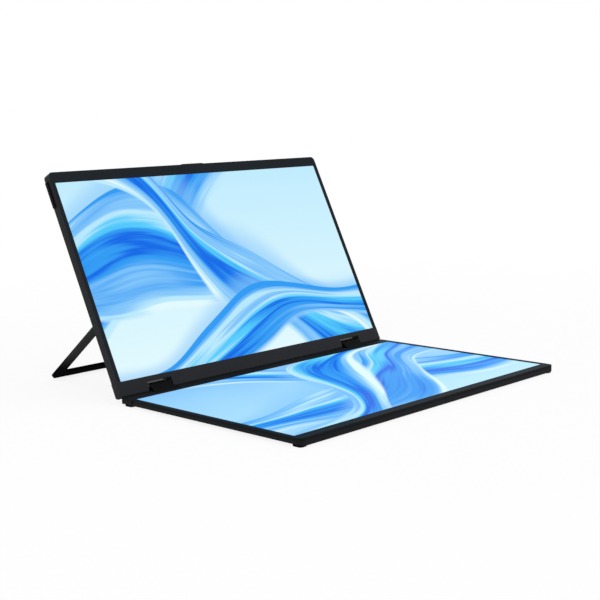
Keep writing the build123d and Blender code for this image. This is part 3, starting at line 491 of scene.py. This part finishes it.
def build_handling(name):
    """Soft smudges and a little dust, as hands leave them."""
    tree, kit, given, result = shader_group(
        name, {"Size": 0.03, "Smudge": 0.05, "Dust": 0.02}, ("Roughness Shift", "Dust"))
    place = kit.object_place()
    cloud = kit.noise(place, kit.over(1.0, given["Size"]), 4.0, 0.6)
    specks = kit.noise(place, 2600.0, 2.0, 0.7)
    kit.fill(result, {
        "Roughness Shift": kit.times(kit.remap(cloud, 0.5, 0.72, 0.0, -1.0, True), given["Smudge"]),
        "Dust": kit.times(kit.remap(specks, 0.68, 0.76, 0.0, 1.0), given["Dust"])})
    return tree


def build_band(name, look):
    """One band of the screens' picture: soft along one side, crisp and shaded along the other."""
    tree, kit, given, result = shader_group(
        name, {"Place": (0, 0, 0), "Start": 0.5, "Sway": 0.1, "Waves": 3.0, "Phase": 0.0, "Width": 0.15,
               "Pinch": 0.3, "Softness": 0.1, "Seed": 0.0, "Shift": 0.0}, ("Color", "Mask", "Shade"))
    split = kit.add("ShaderNodeSeparateXYZ", {"Vector": given["Place"]}).outputs
    x, y = split["X"], split["Y"]
    angle = kit.plus(kit.times(x, given["Waves"]), given["Phase"])
    centre = kit.plus(given["Start"], kit.times(kit.math("SINE", angle), given["Sway"]))
    pinch = kit.times(kit.math("SINE", kit.times(angle, 1.63)), given["Pinch"])
    across = kit.over(kit.minus(y, centre), kit.times(given["Width"], kit.plus(pinch, 1.0)))
    soft_side = kit.remap(kit.plus(across, 1.0), 0.0, given["Softness"], 0.0, 1.0, True)
    crisp_side = kit.remap(across, 0.97, 1.0, 1.0, 0.0, True)
    beside = kit.remap(across, 1.0, 1.7, look.fold_shade, 0.0, True)

    def ripple(long, wide, *noise):
        """Noise from -0.5 to 0.5 that is drawn out along the band."""
        place = kit.combine(kit.times(x, long), kit.times(across, wide), given["Seed"])
        return kit.minus(kit.noise(place, *noise), 0.5)

    broad = kit.times(ripple(0.9, 1.6, 1.3, 1.0), look.folds)
    fine = kit.times(ripple(1.1, 7.5, 1.6, 3.0, 0.55), look.streaks)
    level = kit.times(kit.plus(across, 1.0), 0.5)
    fold = kit.plus(kit.plus(level, given["Shift"]), kit.plus(broad, fine))
    ramp = kit.add("ShaderNodeValToRGB", {"Fac": fold})
    stops = ((0.0, look.white), (0.08, look.pale), (0.22, look.sky), (0.38, look.azure), (0.49, look.deep),
             (0.56, look.azure), (0.66, look.cyan), (0.78, look.pale), (0.87, look.sky), (1.0, look.azure))
    elements = ramp.color_ramp.elements
    ramp.color_ramp.interpolation = "EASE"
    while len(elements) < len(stops):
        elements.new(0.5)
    for element, (position, colour) in zip(elements, stops):
        element.position = position
        element.color = opaque(colour)
    kit.fill(result, {"Color": ramp.outputs["Color"], "Mask": kit.times(soft_side, crisp_side),
                      "Shade": kit.times(beside, kit.remap(across, 0.0, 0.9, 0.0, 1.0))})
    return tree


# Materials

def principled(material):
    nodes = material.node_tree.nodes
    return NodeKit(material.node_tree), next(node for node in nodes if node.type == "BSDF_PRINCIPLED")


def new_material(name):
    """A material with its principled shader: (material, kit, shader)."""
    material = bpy.data.materials.new(name)
    material.use_nodes = True
    return material, *principled(material)


def edge_mask(kit, width, amount, patch=0.004):
    values = {"Width": width, "Amount": amount, "Patch Size": patch}
    return kit.group("Edge Mask", build_edge_mask, values)["Mask"]


def moulded(name, colour, worn, roughness=0.5, grain=0.0004, depth=0.2, wear_width=0.0003, wear=0.2,
            dust=0.03, shine=0.5):
    """Moulded plastic or rubber with a fine texture, rubbed edges and a little dust."""
    material, kit, shader = new_material(name)
    texture = kit.group("Mould Grain", build_grain, {"Size": grain, "Roughness": roughness})
    handled = kit.group("Handling", build_handling, {"Dust": dust})
    drift = kit.noise(kit.object_place(), 22.0, 3.0, 0.5)
    base = kit.blend(drift, opaque(colour, 0.86), opaque(colour, 1.14))
    rubbed = kit.blend(edge_mask(kit, wear_width, wear), base, opaque(worn))
    kit.fill(shader, {"Base Color": kit.blend(handled["Dust"], rubbed, DUST),
                      "Roughness": kit.plus(texture["Roughness"], handled["Roughness Shift"]),
                      "Specular IOR Level": shine,
                      "Normal": kit.bump(texture["Height"], depth, grain * 0.5)})
    return material


def metal(name, colour, roughness, look, direction=(0, 0, 0), wear=0.3, metallic=1.0, worn=None,
          depth=0.08, shine=0.5):
    """Rolled, brushed or coated metal with streaks and brighter edges."""
    material, kit, shader = new_material(name)
    streaks = kit.group("Metal Streaks", build_streaks, {
        "Width": look.streak_width, "Length": look.streak_length, "Turn": direction, "Roughness": roughness})
    base = kit.blend(streaks["Shade"], BLACK, opaque(colour))
    brighter = worn or [min(1.0, 1.35 * value + 0.02) for value in colour]
    kit.fill(shader, {"Base Color": kit.blend(edge_mask(kit, 0.0003, wear, 0.003), base, opaque(brighter)),
                      "Roughness": streaks["Roughness"],
                      "Metallic": metallic, "Specular IOR Level": shine,
                      "Normal": kit.bump(streaks["Height"], depth, 0.00003)})
    return material


def patterned(name, pattern, scale, low, high, grain, roughness, relief=0.0):
    """A finish with a pattern from the low colour to the high one, which relief raises."""
    material, kit, shader = new_material(name)
    place = kit.object_place()
    mask = pattern(kit, place, scale)
    kit.fill(shader, {"Base Color": kit.blend(mask, low, high),
                      "Roughness": kit.remap(kit.noise(place, grain), 0.3, 0.7, *roughness)})
    if relief:
        kit.fill(shader, {"Normal": kit.bump(mask, relief, 0.00004)})
    return material


def tracks(kit, place, scale):
    """Copper tracks that show through solder mask, in patches."""
    bricks = kit.out("ShaderNodeTexBrick", "Fac", {"Vector": place, "Scale": scale, "Mortar Size": 0.035},
                     offset=0.37, squash=0.6)
    return kit.times(bricks, kit.remap(kit.noise(place, 120.0, 2.0), 0.45, 0.55, 0.0, 1.0))


def conductors(kit, place, scale):
    """A ribbon's conductors, side by side."""
    return kit.out("ShaderNodeTexWave", "Fac", {"Vector": place, "Scale": scale, "Distortion": 0.4},
                   bands_direction="Y")


def dots(kit, place, scale):
    """Dots that scatter light."""
    cells = kit.out("ShaderNodeTexVoronoi", "Distance", {"Vector": place, "Scale": scale, "Randomness": 0.2})
    return kit.remap(cells, 0.28, 0.36, 1.0, 0.0)


def dotted(name, colour, dot_size):
    """Clear or white plastic with its light-scattering dots."""
    return patterned(name, dots, 1.0 / dot_size, opaque(colour, 0.82), opaque(colour), 400.0, (0.18, 0.32))


def lit_screen(name, look, sizes, display, ground_colours, bands):
    """The lit LCD of one display: dark glass whose picture is its own light."""
    material, kit, shader = new_material(name)
    per_height = 1.0 / sizes.screen_height
    local = kit.mapped(kit.object_place(), **local_values(display))
    straight = kit.mapped(local, Location=(0, -sizes.chin * per_height, 0), Scale=(per_height, per_height, 0))
    slow = kit.noise(straight, 1.1, 1.0, 0.4, "Color")
    bend = kit.vector_math("MULTIPLY", kit.vector_math("SUBTRACT", slow, (0.5,) * 3), (look.warp,) * 3)
    place = kit.vector_math("ADD", straight, bend)
    rise = kit.out("ShaderNodeSeparateXYZ", "Y", {"Vector": place})
    low_colour, high_colour = ground_colours
    picture = kit.blend(kit.remap(rise, 0.0, 1.1, 0.0, 1.0), opaque(low_colour), opaque(high_colour))
    for degrees, *values in bands:
        turned = kit.out("ShaderNodeVectorRotate", "Vector", {
            "Vector": place, "Center": (0, 0.5, 0), "Angle": math.radians(degrees)}, rotation_type="Z_AXIS")
        band = kit.group("Flow Band", lambda label: build_band(label, look),
                         {"Place": turned, **dict(zip(BAND_VALUES, values))})
        picture = kit.blend(band["Shade"], picture, opaque(look.sky))
        picture = kit.blend(band["Mask"], picture, band["Color"])
    film = kit.noise(kit.object_place(), 5200.0, 1.0)
    kit.fill(shader, {
        "Emission Color": picture, "Emission Strength": look.brightness,
        "Base Color": DARK_GLASS, "Specular IOR Level": look.shine,
        "Roughness": kit.remap(film, 0.3, 0.7, look.coat_roughness - 0.02, look.coat_roughness + 0.02)})
    return material


def paint(material, *nodes):
    """Gives CAD nodes a material in their slots."""
    for node in nodes:
        slots = frame["nodes"][node].data.materials
        if not slots:
            slots.append(material)
        for index in range(len(slots)):
            slots[index] = material


def paint_slot(slot, material):
    """Gives every CAD node of a material slot its material."""
    paint(material, *(part["node"] for part in frame["record"]["subparts"] if part["material_slot"] == slot))


# Meshes and pieces

def new_object(name, data):
    """A new object at the origin, linked to the scene."""
    item = bpy.data.objects.new(name, data)
    bpy.context.scene.collection.objects.link(item)
    return item


def finished_piece(name, mesh, material, body, place):
    """Links a mesh as a piece: moved into place, riding its body, with its finish's slot."""
    mesh.transform(place)
    mesh.materials.clear()
    mesh.materials.append(material)
    piece = new_object(name, mesh)
    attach(piece, body)
    return piece


def quarter(cx, cy, radius, start, steps):
    """Points along a quarter of a circle, anticlockwise from an angle in degrees."""
    turns = [math.radians(start + 90 * step / steps) for step in range(steps + 1)]
    return [(cx + radius * math.cos(angle), cy + radius * math.sin(angle)) for angle in turns]


def rounded_outline(x0, x1, y0, y1, radius, steps=5):
    """The corner points of a rectangle with round corners, anticlockwise."""
    left, right, low, high = x0 + radius, x1 - radius, y0 + radius, y1 - radius
    return [*quarter(right, high, radius, 0, steps), *quarter(left, high, radius, 90, steps),
            *quarter(left, low, radius, 180, steps), *quarter(right, low, radius, 270, steps)]


def plain_mesh(name, points, faces):
    mesh = bpy.data.meshes.new(name)
    mesh.from_pydata(points, [], faces)
    return mesh


def strip(name, outer, inner, low, high):
    """A closed strip between two anticlockwise outlines of equal length, between two levels."""
    count = len(outer)
    rows = ((outer, low), (outer, high), (inner, high), (inner, low))
    points = [(x, y, z) for outline, z in rows for x, y in outline]
    faces = []
    for row in range(4):
        this, after = row * count, (row + 1) % 4 * count
        for index in range(count):
            beside = (index + 1) % count
            faces.append((this + index, this + beside, after + beside, after + index))
    return plain_mesh(name, points, faces)


def plates(name, outlines, low, high):
    """Closed plates between two levels, one for each anticlockwise outline."""
    points, faces = [], []
    for outline in outlines:
        first, count = len(points), len(outline)
        above = first + count
        points += [(x, y, z) for z in (low, high) for x, y in outline]
        faces += [tuple(reversed(range(first, above))), tuple(range(above, above + count))]
        for index in range(count):
            beside = (index + 1) % count
            faces.append((first + index, first + beside, above + beside, above + index))
    return plain_mesh(name, points, faces)


# Geometry Nodes for what repeats

def geometry_tree(name, inputs):
    """A new Geometry Nodes tree: (tree, kit, its inputs' sockets, its output node)."""
    tree = bpy.data.node_groups.new(name, "GeometryNodeTree")
    kinds = {"Geometry": "NodeSocketGeometry", **inputs, "Material": "NodeSocketMaterial"}
    for label, kind in kinds.items():
        tree.interface.new_socket(name=label, in_out="INPUT", socket_type=kind)
    tree.interface.new_socket(name="Geometry", in_out="OUTPUT", socket_type="NodeSocketGeometry")
    kit = NodeKit(tree)
    return tree, kit, kit.add("NodeGroupInput").outputs, kit.add("NodeGroupOutput")


def close_tree(kit, given, result, instance):
    """Ends a tree: the instance on every given point, as real geometry with its material."""
    copies = kit.placed(given["Geometry"], instance)
    real = kit.out("GeometryNodeRealizeInstances", "Geometry", {"Geometry": copies})
    kit.fill(result, {"Geometry": kit.out("GeometryNodeSetMaterial", "Geometry", {
        "Geometry": real, "Material": given["Material"]})})


def build_bar_row(name):
    """A row of round bars along X at every given point, each bar lying along Y."""
    tree, kit, given, result = geometry_tree(name, {"Count": "NodeSocketInt", "Pitch": FLOAT, "Size": VECTOR})
    line = kit.out("GeometryNodeMeshLine", "Mesh", {
        "Count": given["Count"], "Offset": kit.combine(x=given["Pitch"])}, mode="OFFSET")
    half = kit.times(kit.times(kit.minus(given["Count"], 1.0), given["Pitch"]), -0.5)
    centred = kit.shifted(line, Translation=kit.combine(x=half))
    bar = kit.out("GeometryNodeMeshCylinder", "Mesh", {"Vertices": 12, "Radius": 0.5, "Depth": 1.0})
    sized = kit.shifted(kit.shifted(bar, Rotation=(math.pi / 2, 0, 0)), Scale=given["Size"])
    close_tree(kit, given, result, kit.placed(centred, sized))
    return tree


def build_screw_set(name):
    """Screws at the given points, heads down: a chamfered head with a cross recess, and a shank."""
    tree, kit, given, result = geometry_tree(name, {
        "Radius": FLOAT, "Height": FLOAT, "Chamfer": FLOAT, "Slot": VECTOR, "Shank Radius": FLOAT,
        "Shank Length": FLOAT})
    radius, height, chamfer, shank_length = (
        given[label] for label in ("Radius", "Height", "Chamfer", "Shank Length"))

    def disc(low_radius, depth):
        return kit.out("GeometryNodeMeshCone", "Mesh", {
            "Vertices": 40, "Radius Top": radius, "Radius Bottom": low_radius, "Depth": depth})

    head = kit.shifted(disc(radius, kit.minus(height, chamfer)), Translation=kit.combine(z=chamfer))
    face = disc(kit.minus(radius, chamfer), chamfer)
    shank = kit.out("GeometryNodeMeshCylinder", "Mesh", {
        "Vertices": 20, "Radius": given["Shank Radius"], "Depth": shank_length})
    middle = kit.plus(height, kit.times(shank_length, 0.5))
    stem = kit.shifted(shank, Translation=kit.combine(z=middle))
    solid = kit.merged("UNION", {"Mesh 2": [head, face, stem]})
    across = kit.out("GeometryNodeMeshCube", "Mesh", {"Size": given["Slot"]})
    along = kit.shifted(across, Rotation=(0, 0, math.pi / 2))
    cut = kit.merged("DIFFERENCE", {"Mesh 1": solid, "Mesh 2": [across, along]})
    close_tree(kit, given, result, cut)
    return tree


def grown_mesh(name, tree, values, points=((0, 0, 0),)):
    """The plain mesh that a tree makes from a set of points."""
    holder = new_object(name + "_points", plain_mesh(name + "_points", points, []))
    modifier = holder.modifiers.new(name, "NODES")
    modifier.node_group = tree
    for socket in tree.interface.items_tree:
        if socket.name in values:
            modifier[socket.identifier] = values[socket.name]
    graph = bpy.context.evaluated_depsgraph_get()
    mesh = bpy.data.meshes.new_from_object(holder.evaluated_get(graph), depsgraph=graph)
    mesh.name = name
    holder.modifiers.remove(modifier)
    bpy.data.objects.remove(holder)
    return mesh


class MonitorOperator(bpy.types.Operator):
    """Shared options of the monitor's operators."""
    bl_options = {"REGISTER", "UNDO"}


class MONITOR_OT_shells(MonitorOperator):
    """Finishes the bezels and the rear shells"""
    bl_idname = "monitor.shells"
    bl_label = "Finish Shells"

    def execute(self, context):
        look = settings(context).shell
        bezels, covers = look.bezel_roughness, look.cover_roughness
        for name, node, colour, roughness, coarser, wear, shine in (
                ("bezel plastic", "upper_front_bezel", look.bezel, bezels, 1.0, 1.0, 1.0),
                # Painted shade: the lower bezel is drawn darker than the upper one.
                ("lower bezel plastic", "lower_front_bezel", look.lower_bezel_shade, bezels, 1.0, 0.5, 0.3),
                ("back cover plastic", "upper_back_cover", look.cover, covers, 1.3, 1.0, 1.0),
                # Painted shade: the bottom cover is drawn darker than the back cover.
                ("bottom cover plastic", "lower_bottom_cover", look.lower_cover_shade, covers, 1.3, 0.5, 0.6)):
            paint(moulded(name, colour, look.worn, roughness, look.grain_size * coarser,
                          look.grain_depth * coarser, look.wear_width, look.wear * wear,
                          shine=look.shine * shine), node)
        return {"FINISHED"}


class MONITOR_OT_screens(MonitorOperator):
    """Lights both screens with a picture of flowing bands"""
    bl_idname = "monitor.screens"
    bl_label = "Light Screens"

    def execute(self, context):
        own = settings(context)
        look, sizes = own.screen, own.sizes
        facing_viewer = (lower_frame(sizes) @ Matrix.Translation((0, sizes.panel_height, 0))
                         @ Matrix.Rotation(math.pi, 4, "Z"))
        for side, display, ground, bands in (
                ("upper", upper_frame(sizes), (look.white, look.pale), UPPER_BANDS),
                ("lower", facing_viewer, (look.pale, look.sky), LOWER_BANDS)):
            paint(lit_screen(side + " screen", look, sizes, display, ground, bands), side + "_lcd_cell")
        return {"FINISHED"}


class MONITOR_OT_gaskets(MonitorOperator):
    """Lays a thin dark strip between each screen and its bezel"""
    bl_idname = "monitor.gaskets"
    bl_label = "Lay Gaskets"

    def execute(self, context):
        own = settings(context)
        sizes, detail = own.sizes, own.detail
        foam = moulded("gasket foam", own.small.gasket, (0.02, 0.02, 0.02), 0.7, grain=0.0002, depth=0.3,
                       wear=0.0, dust=0.0)
        half, low, high = sizes.screen_width / 2, sizes.chin, sizes.chin + sizes.screen_height
        outer, inner = (
            rounded_outline(inset - half, half - inset, low + inset, high - inset, radius)
            for inset, radius in ((2 * HAIR, SHARP), (detail.gasket_width, detail.gasket_corner)))
        for side, body, place in displays(sizes):
            mesh = strip(side + "_gasket", outer, inner, HAIR - detail.lcd_depth,
                         detail.gasket_height - detail.lcd_depth)
            finished_piece(side + "_gasket", mesh, foam, body, place)
        return {"FINISHED"}


class MONITOR_OT_borders(MonitorOperator):
    """Lays the black border film on three sides of each screen"""
    bl_idname = "monitor.borders"
    bl_label = "Lay Border Films"

    def execute(self, context):
        own = settings(context)
        sizes, detail = own.sizes, own.detail
        inner, outer = sizes.screen_width / 2, sizes.half_width - detail.border_rim
        low, glass_top = detail.border_start, sizes.chin + sizes.screen_height
        corner, steps = detail.border_corner, 6
        across, up = outer - corner, sizes.panel_height - detail.border_rim - corner
        outline = [(inner, low), (outer, low), *quarter(across, up, corner, 0, steps),
                   *quarter(-across, up, corner, 90, steps), (-outer, low), (-inner, low),
                   (-inner, glass_top), (inner, glass_top)]
        # Painted shade: the lower display's film takes a darker colour than the upper one.
        colours = {"upper": own.shell.border, "lower": own.shell.lower_border_shade}
        for side, body, place in displays(sizes):
            name = side + "_border_film"
            film = moulded(name, colours[side], colours[side], 0.35, grain=0.0001, depth=0.03, wear=0.0,
                           dust=0.01, shine=own.screen.shine)
            mesh = plates(name, [outline], HAIR, detail.border_height)
            finished_piece(name, mesh, film, body, place)
        return {"FINISHED"}


class MONITOR_OT_hinges(MonitorOperator):
    """Finishes the hinge links, shafts, washers, clips and brackets"""
    bl_idname = "monitor.hinges"
    bl_label = "Finish Hinges"

    def execute(self, context):
        own = settings(context)
        look, shell, detail = own.metal, own.shell, own.detail
        # The links' colour is partly their dark finish and partly painted shade of the cut-outs they sit in.
        paint_slot("link_metal", moulded(
            "link coating", look.link, shell.worn, 0.5, shell.grain_size, shell.grain_depth, shell.wear_width,
            shell.wear * 0.3, shine=look.link_shine))
        paint_slot("bracket_steel", metal("bracket steel", look.steel, 0.32, look))
        paint_slot("shaft_steel", metal("blackened steel", look.shaft, 0.35, look, (0, math.pi / 2, 0)))
        edge_steel = metal("edge steel", look.hinge_edge, 0.4, look)
        low, half = detail.edge_start, detail.edge_length / 2
        middles = [side * detail.hinge_centre + detail.edge_shift for side in (-1, 1)]
        outlines = [rounded_outline(middle - half, middle + half, low, low + detail.edge_width, SHARP)
                    for middle in middles]
        level = HAIR - detail.edge_depth
        for side, body, place in displays(own.sizes):
            name = side + "_hinge_edges"
            mesh = plates(name, outlines, level, level + detail.edge_height)
            finished_piece(name, mesh, edge_steel, body, place)
        return {"FINISHED"}


class MONITOR_OT_stand(MonitorOperator):
    """Finishes the stand, whose far end is darkened with painted shade and made rougher"""
    bl_idname = "monitor.stand"
    bl_label = "Finish Stand"

    def execute(self, context):
        own = settings(context)
        look, sizes = own.metal, own.sizes
        material = metal("stand anodising", look.stand, 0.5, look, wear=0.4, metallic=0.0,
                         worn=(0.05, 0.05, 0.055), shine=look.stand_shine)
        kit, shader = principled(material)
        bare, roughness = (shader.inputs[name].links[0].from_socket for name in ("Base Color", "Roughness"))
        local = kit.mapped(kit.object_place(), **local_values(stand_frame(sizes)))
        along = kit.out("ShaderNodeSeparateXYZ", "Y", {"Vector": local})
        # Painted shade: towards the far end the colour fades to the dark end colour, and the roughness rises
        # there too.
        painted = kit.remap(along, sizes.shade_start, sizes.shade_full, 0.0, 1.0, True)
        rougher = kit.times(painted, kit.minus(look.stand_end_roughness, roughness))
        kit.fill(shader, {"Base Color": kit.blend(painted, bare, opaque(look.stand_end_shade)),
                          "Roughness": kit.plus(roughness, rougher)})
        paint_slot("stand_metal", material)
        return {"FINISHED"}


class MONITOR_OT_rubber(MonitorOperator):
    """Finishes the rubber pieces and ribs the lift tab"""
    bl_idname = "monitor.rubber"
    bl_label = "Finish Rubber"

    def execute(self, context):
        own = settings(context)
        sizes, detail = own.sizes, own.detail
        rubber = moulded("black rubber", own.small.rubber, (0.03, 0.03, 0.03), 0.72, depth=0.3, dust=0.04,
                         shine=own.small.rubber_shine)
        paint_slot("rubber", rubber)
        mesh = grown_mesh("lift_tab_ridges", build_bar_row("Ridge Row"), {
            "Count": detail.ridge_count, "Pitch": detail.ridge_pitch,
            "Size": (detail.ridge_width, detail.ridge_length, detail.ridge_height * 2), "Material": rubber})
        top = Matrix.Translation((0, sizes.panel_height + detail.tab_proud, -detail.tab_depth))
        place = upper_frame(sizes) @ top @ Matrix.Rotation(-math.pi / 2, 4, "X")
        finished_piece("lift_tab_ridges", mesh, rubber, "upper_display", place)
        return {"FINISHED"}


class MONITOR_OT_keys(MonitorOperator):
    """Finishes the rocker, the power key and the status light"""
    bl_idname = "monitor.keys"
    bl_label = "Finish Keys"

    def execute(self, context):
        small = settings(context).small
        paint_slot("key_plastic", moulded("key plastic", small.key, (0.05, 0.05, 0.055), 0.3, grain=0.00015,
                                          depth=0.08, wear=0.5, shine=small.key_shine))
        paint_slot("light_pipe", dotted("status pipe", small.pipe, 0.0004))
        return {"FINISHED"}


class MONITOR_OT_sockets(MonitorOperator):
    """Finishes the sockets and lays their contacts"""
    bl_idname = "monitor.sockets"
    bl_label = "Finish Sockets"

    def execute(self, context):
        own = settings(context)
        look, sizes, detail = own.metal, own.sizes, own.detail
        paint_slot("socket_shell", metal("plated shell", look.plated, 0.18, look, depth=0.03))
        gold = metal("gold contacts", look.gold, 0.22, look, wear=0.0, depth=0.02)
        middle = sizes.half_width - detail.contact_end - detail.contact_length / 2
        place = (upper_frame(sizes) @ Matrix.Translation((middle, 0, -detail.socket_depth))
                 @ Matrix.Rotation(math.pi / 2, 4, "Z"))
        tree = build_bar_row("Contact Row")
        for name, count, pitch, width, apart, sockets in CONTACT_ROWS:
            mesh = grown_mesh(name, tree, {
                "Count": count, "Pitch": pitch, "Material": gold,
                "Size": (width, detail.contact_length, detail.contact_height * 2)},
                [(along, 0, side * apart) for along in sockets for side in (-1, 1)])
            finished_piece(name, mesh, gold, "upper_display", place)
        return {"FINISHED"}


class MONITOR_OT_screws(MonitorOperator):
    """Replaces the cover screws with detailed ones and coats the bracket screws"""
    bl_idname = "monitor.screws"
    bl_label = "Set Screws"

    def execute(self, context):
        own = settings(context)
        look, sizes, detail = own.metal, own.sizes, own.detail
        coated = metal("black screws", look.black_steel, 0.35, look, wear=0.6, metallic=0.6,
                       worn=(0.2, 0.2, 0.2))
        paint_slot("screw_steel", coated)
        tree = build_screw_set("Screw Set")
        rows = (detail.chin_screws, sizes.panel_height - detail.free_screws)
        thicknesses = {"lower": sizes.lower_thickness, "upper": sizes.upper_thickness}
        for side, body, place in reversed(displays(sizes)):
            thickness = thicknesses[side]
            mesh = grown_mesh(side + "_screws", tree, {
                "Radius": detail.screw_radius, "Height": detail.screw_height, "Chamfer": detail.screw_chamfer,
                "Slot": (detail.screw_slot_length, detail.screw_slot, detail.screw_slot_depth * 2),
                "Shank Radius": detail.shank_radius, "Shank Length": thickness - detail.shank_margin,
                "Material": coated}, [(x, y, -thickness) for row, y in zip(SCREWS[side], rows) for x in row])
            piece = finished_piece(side + "_screws", mesh, coated, body, place)
            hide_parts(side + "_cover_screws")
        return {"FINISHED"}


class MONITOR_OT_electronics(MonitorOperator):
    """Finishes the boards, ribbons, shield, speakers, light guides and chassis"""
    bl_idname = "monitor.electronics"
    bl_label = "Finish Electronics"

    def execute(self, context):
        own = settings(context)
        small, look = own.small, own.metal
        paint_slot("circuit_board", patterned("circuit board", tracks, 260.0, opaque(small.board),
                                              opaque(small.copper), 900.0, (0.28, 0.42), relief=0.3))
        paint_slot("ribbon_film", patterned("ribbon film", conductors, 320.0, opaque(small.film, 0.55),
                                            opaque(small.film), 300.0, (0.25, 0.4)))
        paint_slot("shield_metal", metal("tinned shield", look.tin, 0.28, look))
        paint_slot("chassis_metal", metal("chassis sheet", look.aluminium, 0.36, look))
        paint_slot("speaker_plastic", moulded("speaker box", small.speaker, own.shell.worn))
        paint_slot("light_guide", dotted("light guide", small.guide, 0.0012))
        paint_slot("lamp_strip", dotted("lamp strip", small.lamp_strip, 0.0008))
        return {"FINISHED"}


def seen_directly(kit):
    """1 for camera, glossy and transmission rays, which see the plain white background."""
    path = kit.add("ShaderNodeLightPath").outputs
    direct = kit.math("MAXIMUM", path["Is Camera Ray"], path["Is Glossy Ray"])
    return kit.math("MAXIMUM", direct, path["Is Transmission Ray"])


class MONITOR_OT_stage(MonitorOperator):
    """Sets up the floor, the world, the lamps and the camera"""
    bl_idname = "monitor.stage"
    bl_label = "Set Up Stage"

    def execute(self, context):
        look = settings(context).stage
        self.lay_floor(look)
        self.light_world(context, look)
        for name, place, size in LAMPS:
            self.hang_lamp(name + " lamp", Vector(place), size, getattr(look, name + "_power"))
        self.place_camera(context, look)
        context.scene.view_settings.view_transform = "Standard"
        return {"FINISHED"}

    def lay_floor(self, look):
        """A floor that shows the plain white world behind it and, the less of that, its own shadows."""
        half = look.floor_size / 2
        mesh = plain_mesh("floor", [(-half, -half, 0), (half, -half, 0), (half, half, 0), (-half, half, 0)],
                          [(0, 1, 2, 3)])
        material = bpy.data.materials.new("floor")
        material.use_nodes = True
        material.node_tree.nodes.clear()
        kit = NodeKit(material.node_tree)
        dull = kit.out("ShaderNodeBsdfDiffuse", "BSDF", {"Color": opaque(look.floor_colour)})
        clear = kit.out("ShaderNodeBsdfTransparent", "BSDF")
        distance = kit.vector_math("LENGTH", kit.object_place(), output="Value")
        white_share = kit.remap(distance, look.floor_near, look.floor_far, look.floor_white, 1.0, True)
        from_below = kit.out("ShaderNodeNewGeometry", "Backfacing")
        factor = kit.times(seen_directly(kit), kit.math("MAXIMUM", white_share, from_below))
        mixed = kit.out("ShaderNodeMixShader", "Shader", {0: factor, 1: dull, 2: clear})
        kit.add("ShaderNodeOutputMaterial", {"Surface": mixed})
        mesh.materials.append(material)
        new_object("floor", mesh)

    def light_world(self, context, look):
        """A world that is plain white where it is seen, and dimmer where it lights the object."""
        world = bpy.data.worlds.new("studio")
        world.use_nodes = True
        world.node_tree.nodes.clear()
        kit = NodeKit(world.node_tree)
        strength = kit.remap(seen_directly(kit), 0.0, 1.0, look.world_light, 1.0)
        light = kit.out("ShaderNodeBackground", "Background", {"Color": WHITE, "Strength": strength})
        kit.add("ShaderNodeOutputWorld", {"Surface": light})
        context.scene.world = world

    def hang_lamp(self, name, place, size, power):
        """A square lamp that faces the object's middle."""
        lamp = bpy.data.lights.new(name, "AREA")
        lamp.shape = "SQUARE"
        lamp.size = size
        lamp.energy = power
        holder = new_object(name, lamp)
        holder.location = place
        holder.rotation_euler = (LAMP_TARGET - place).to_track_quat("-Z", "Y").to_euler()

    def place_camera(self, context, look):
        """The photograph's camera: turned round the object, lifted, and rolled about its line of sight."""
        data = bpy.data.cameras.new("camera")
        data.sensor_width = 36.0
        data.lens = look.focal_length
        data.clip_start = 0.05
        camera = new_object("camera", data)
        camera.matrix_world = (Matrix.Translation(look.camera_place) @ Matrix.Rotation(look.azimuth, 4, "Z")
                               @ Matrix.Rotation(math.pi / 2 - look.elevation, 4, "X")
                               @ Matrix.Rotation(look.roll, 4, "Z"))
        context.scene.camera = camera


STEPS = (MONITOR_OT_shells, MONITOR_OT_screens, MONITOR_OT_gaskets, MONITOR_OT_borders, MONITOR_OT_hinges,
         MONITOR_OT_stand, MONITOR_OT_rubber, MONITOR_OT_keys, MONITOR_OT_sockets, MONITOR_OT_screws,
         MONITOR_OT_electronics, MONITOR_OT_stage)


class MONITOR_PT_panel(bpy.types.Panel):
    """Lists the monitor's steps and settings"""
    bl_idname = "MONITOR_PT_panel"
    bl_label = "Dual Portable Monitor"
    bl_space_type = "VIEW_3D"
    bl_region_type = "UI"
    bl_category = "Monitor"

    def draw(self, context):
        own = settings(context)
        for step in STEPS:
            self.layout.operator(step.bl_idname)
        for group in (own.sizes, own.screen, own.shell, own.metal, own.small, own.detail, own.stage):
            box = self.layout.box()
            for name in group.__annotations__:
                box.prop(group, name)


CLASSES = (DisplaySizes, ScreenLook, ShellLook, MetalLook, SmallLook, DetailSizes, StageSettings,
           MonitorSettings, *STEPS, MONITOR_PT_panel)


def register():
    for item in CLASSES:
        bpy.utils.register_class(item)
    bpy.types.Scene.dual_monitor = PointerProperty(type=MonitorSettings)


def unregister():
    del bpy.types.Scene.dual_monitor
    for item in reversed(CLASSES):
        bpy.utils.unregister_class(item)


def main():
    """Builds the whole scene, one operator after another."""
    register()
    for step in STEPS:
        group, name = step.bl_idname.split(".")
        getattr(getattr(bpy.ops, group), name)()


if __name__ == "__main__":
    main()
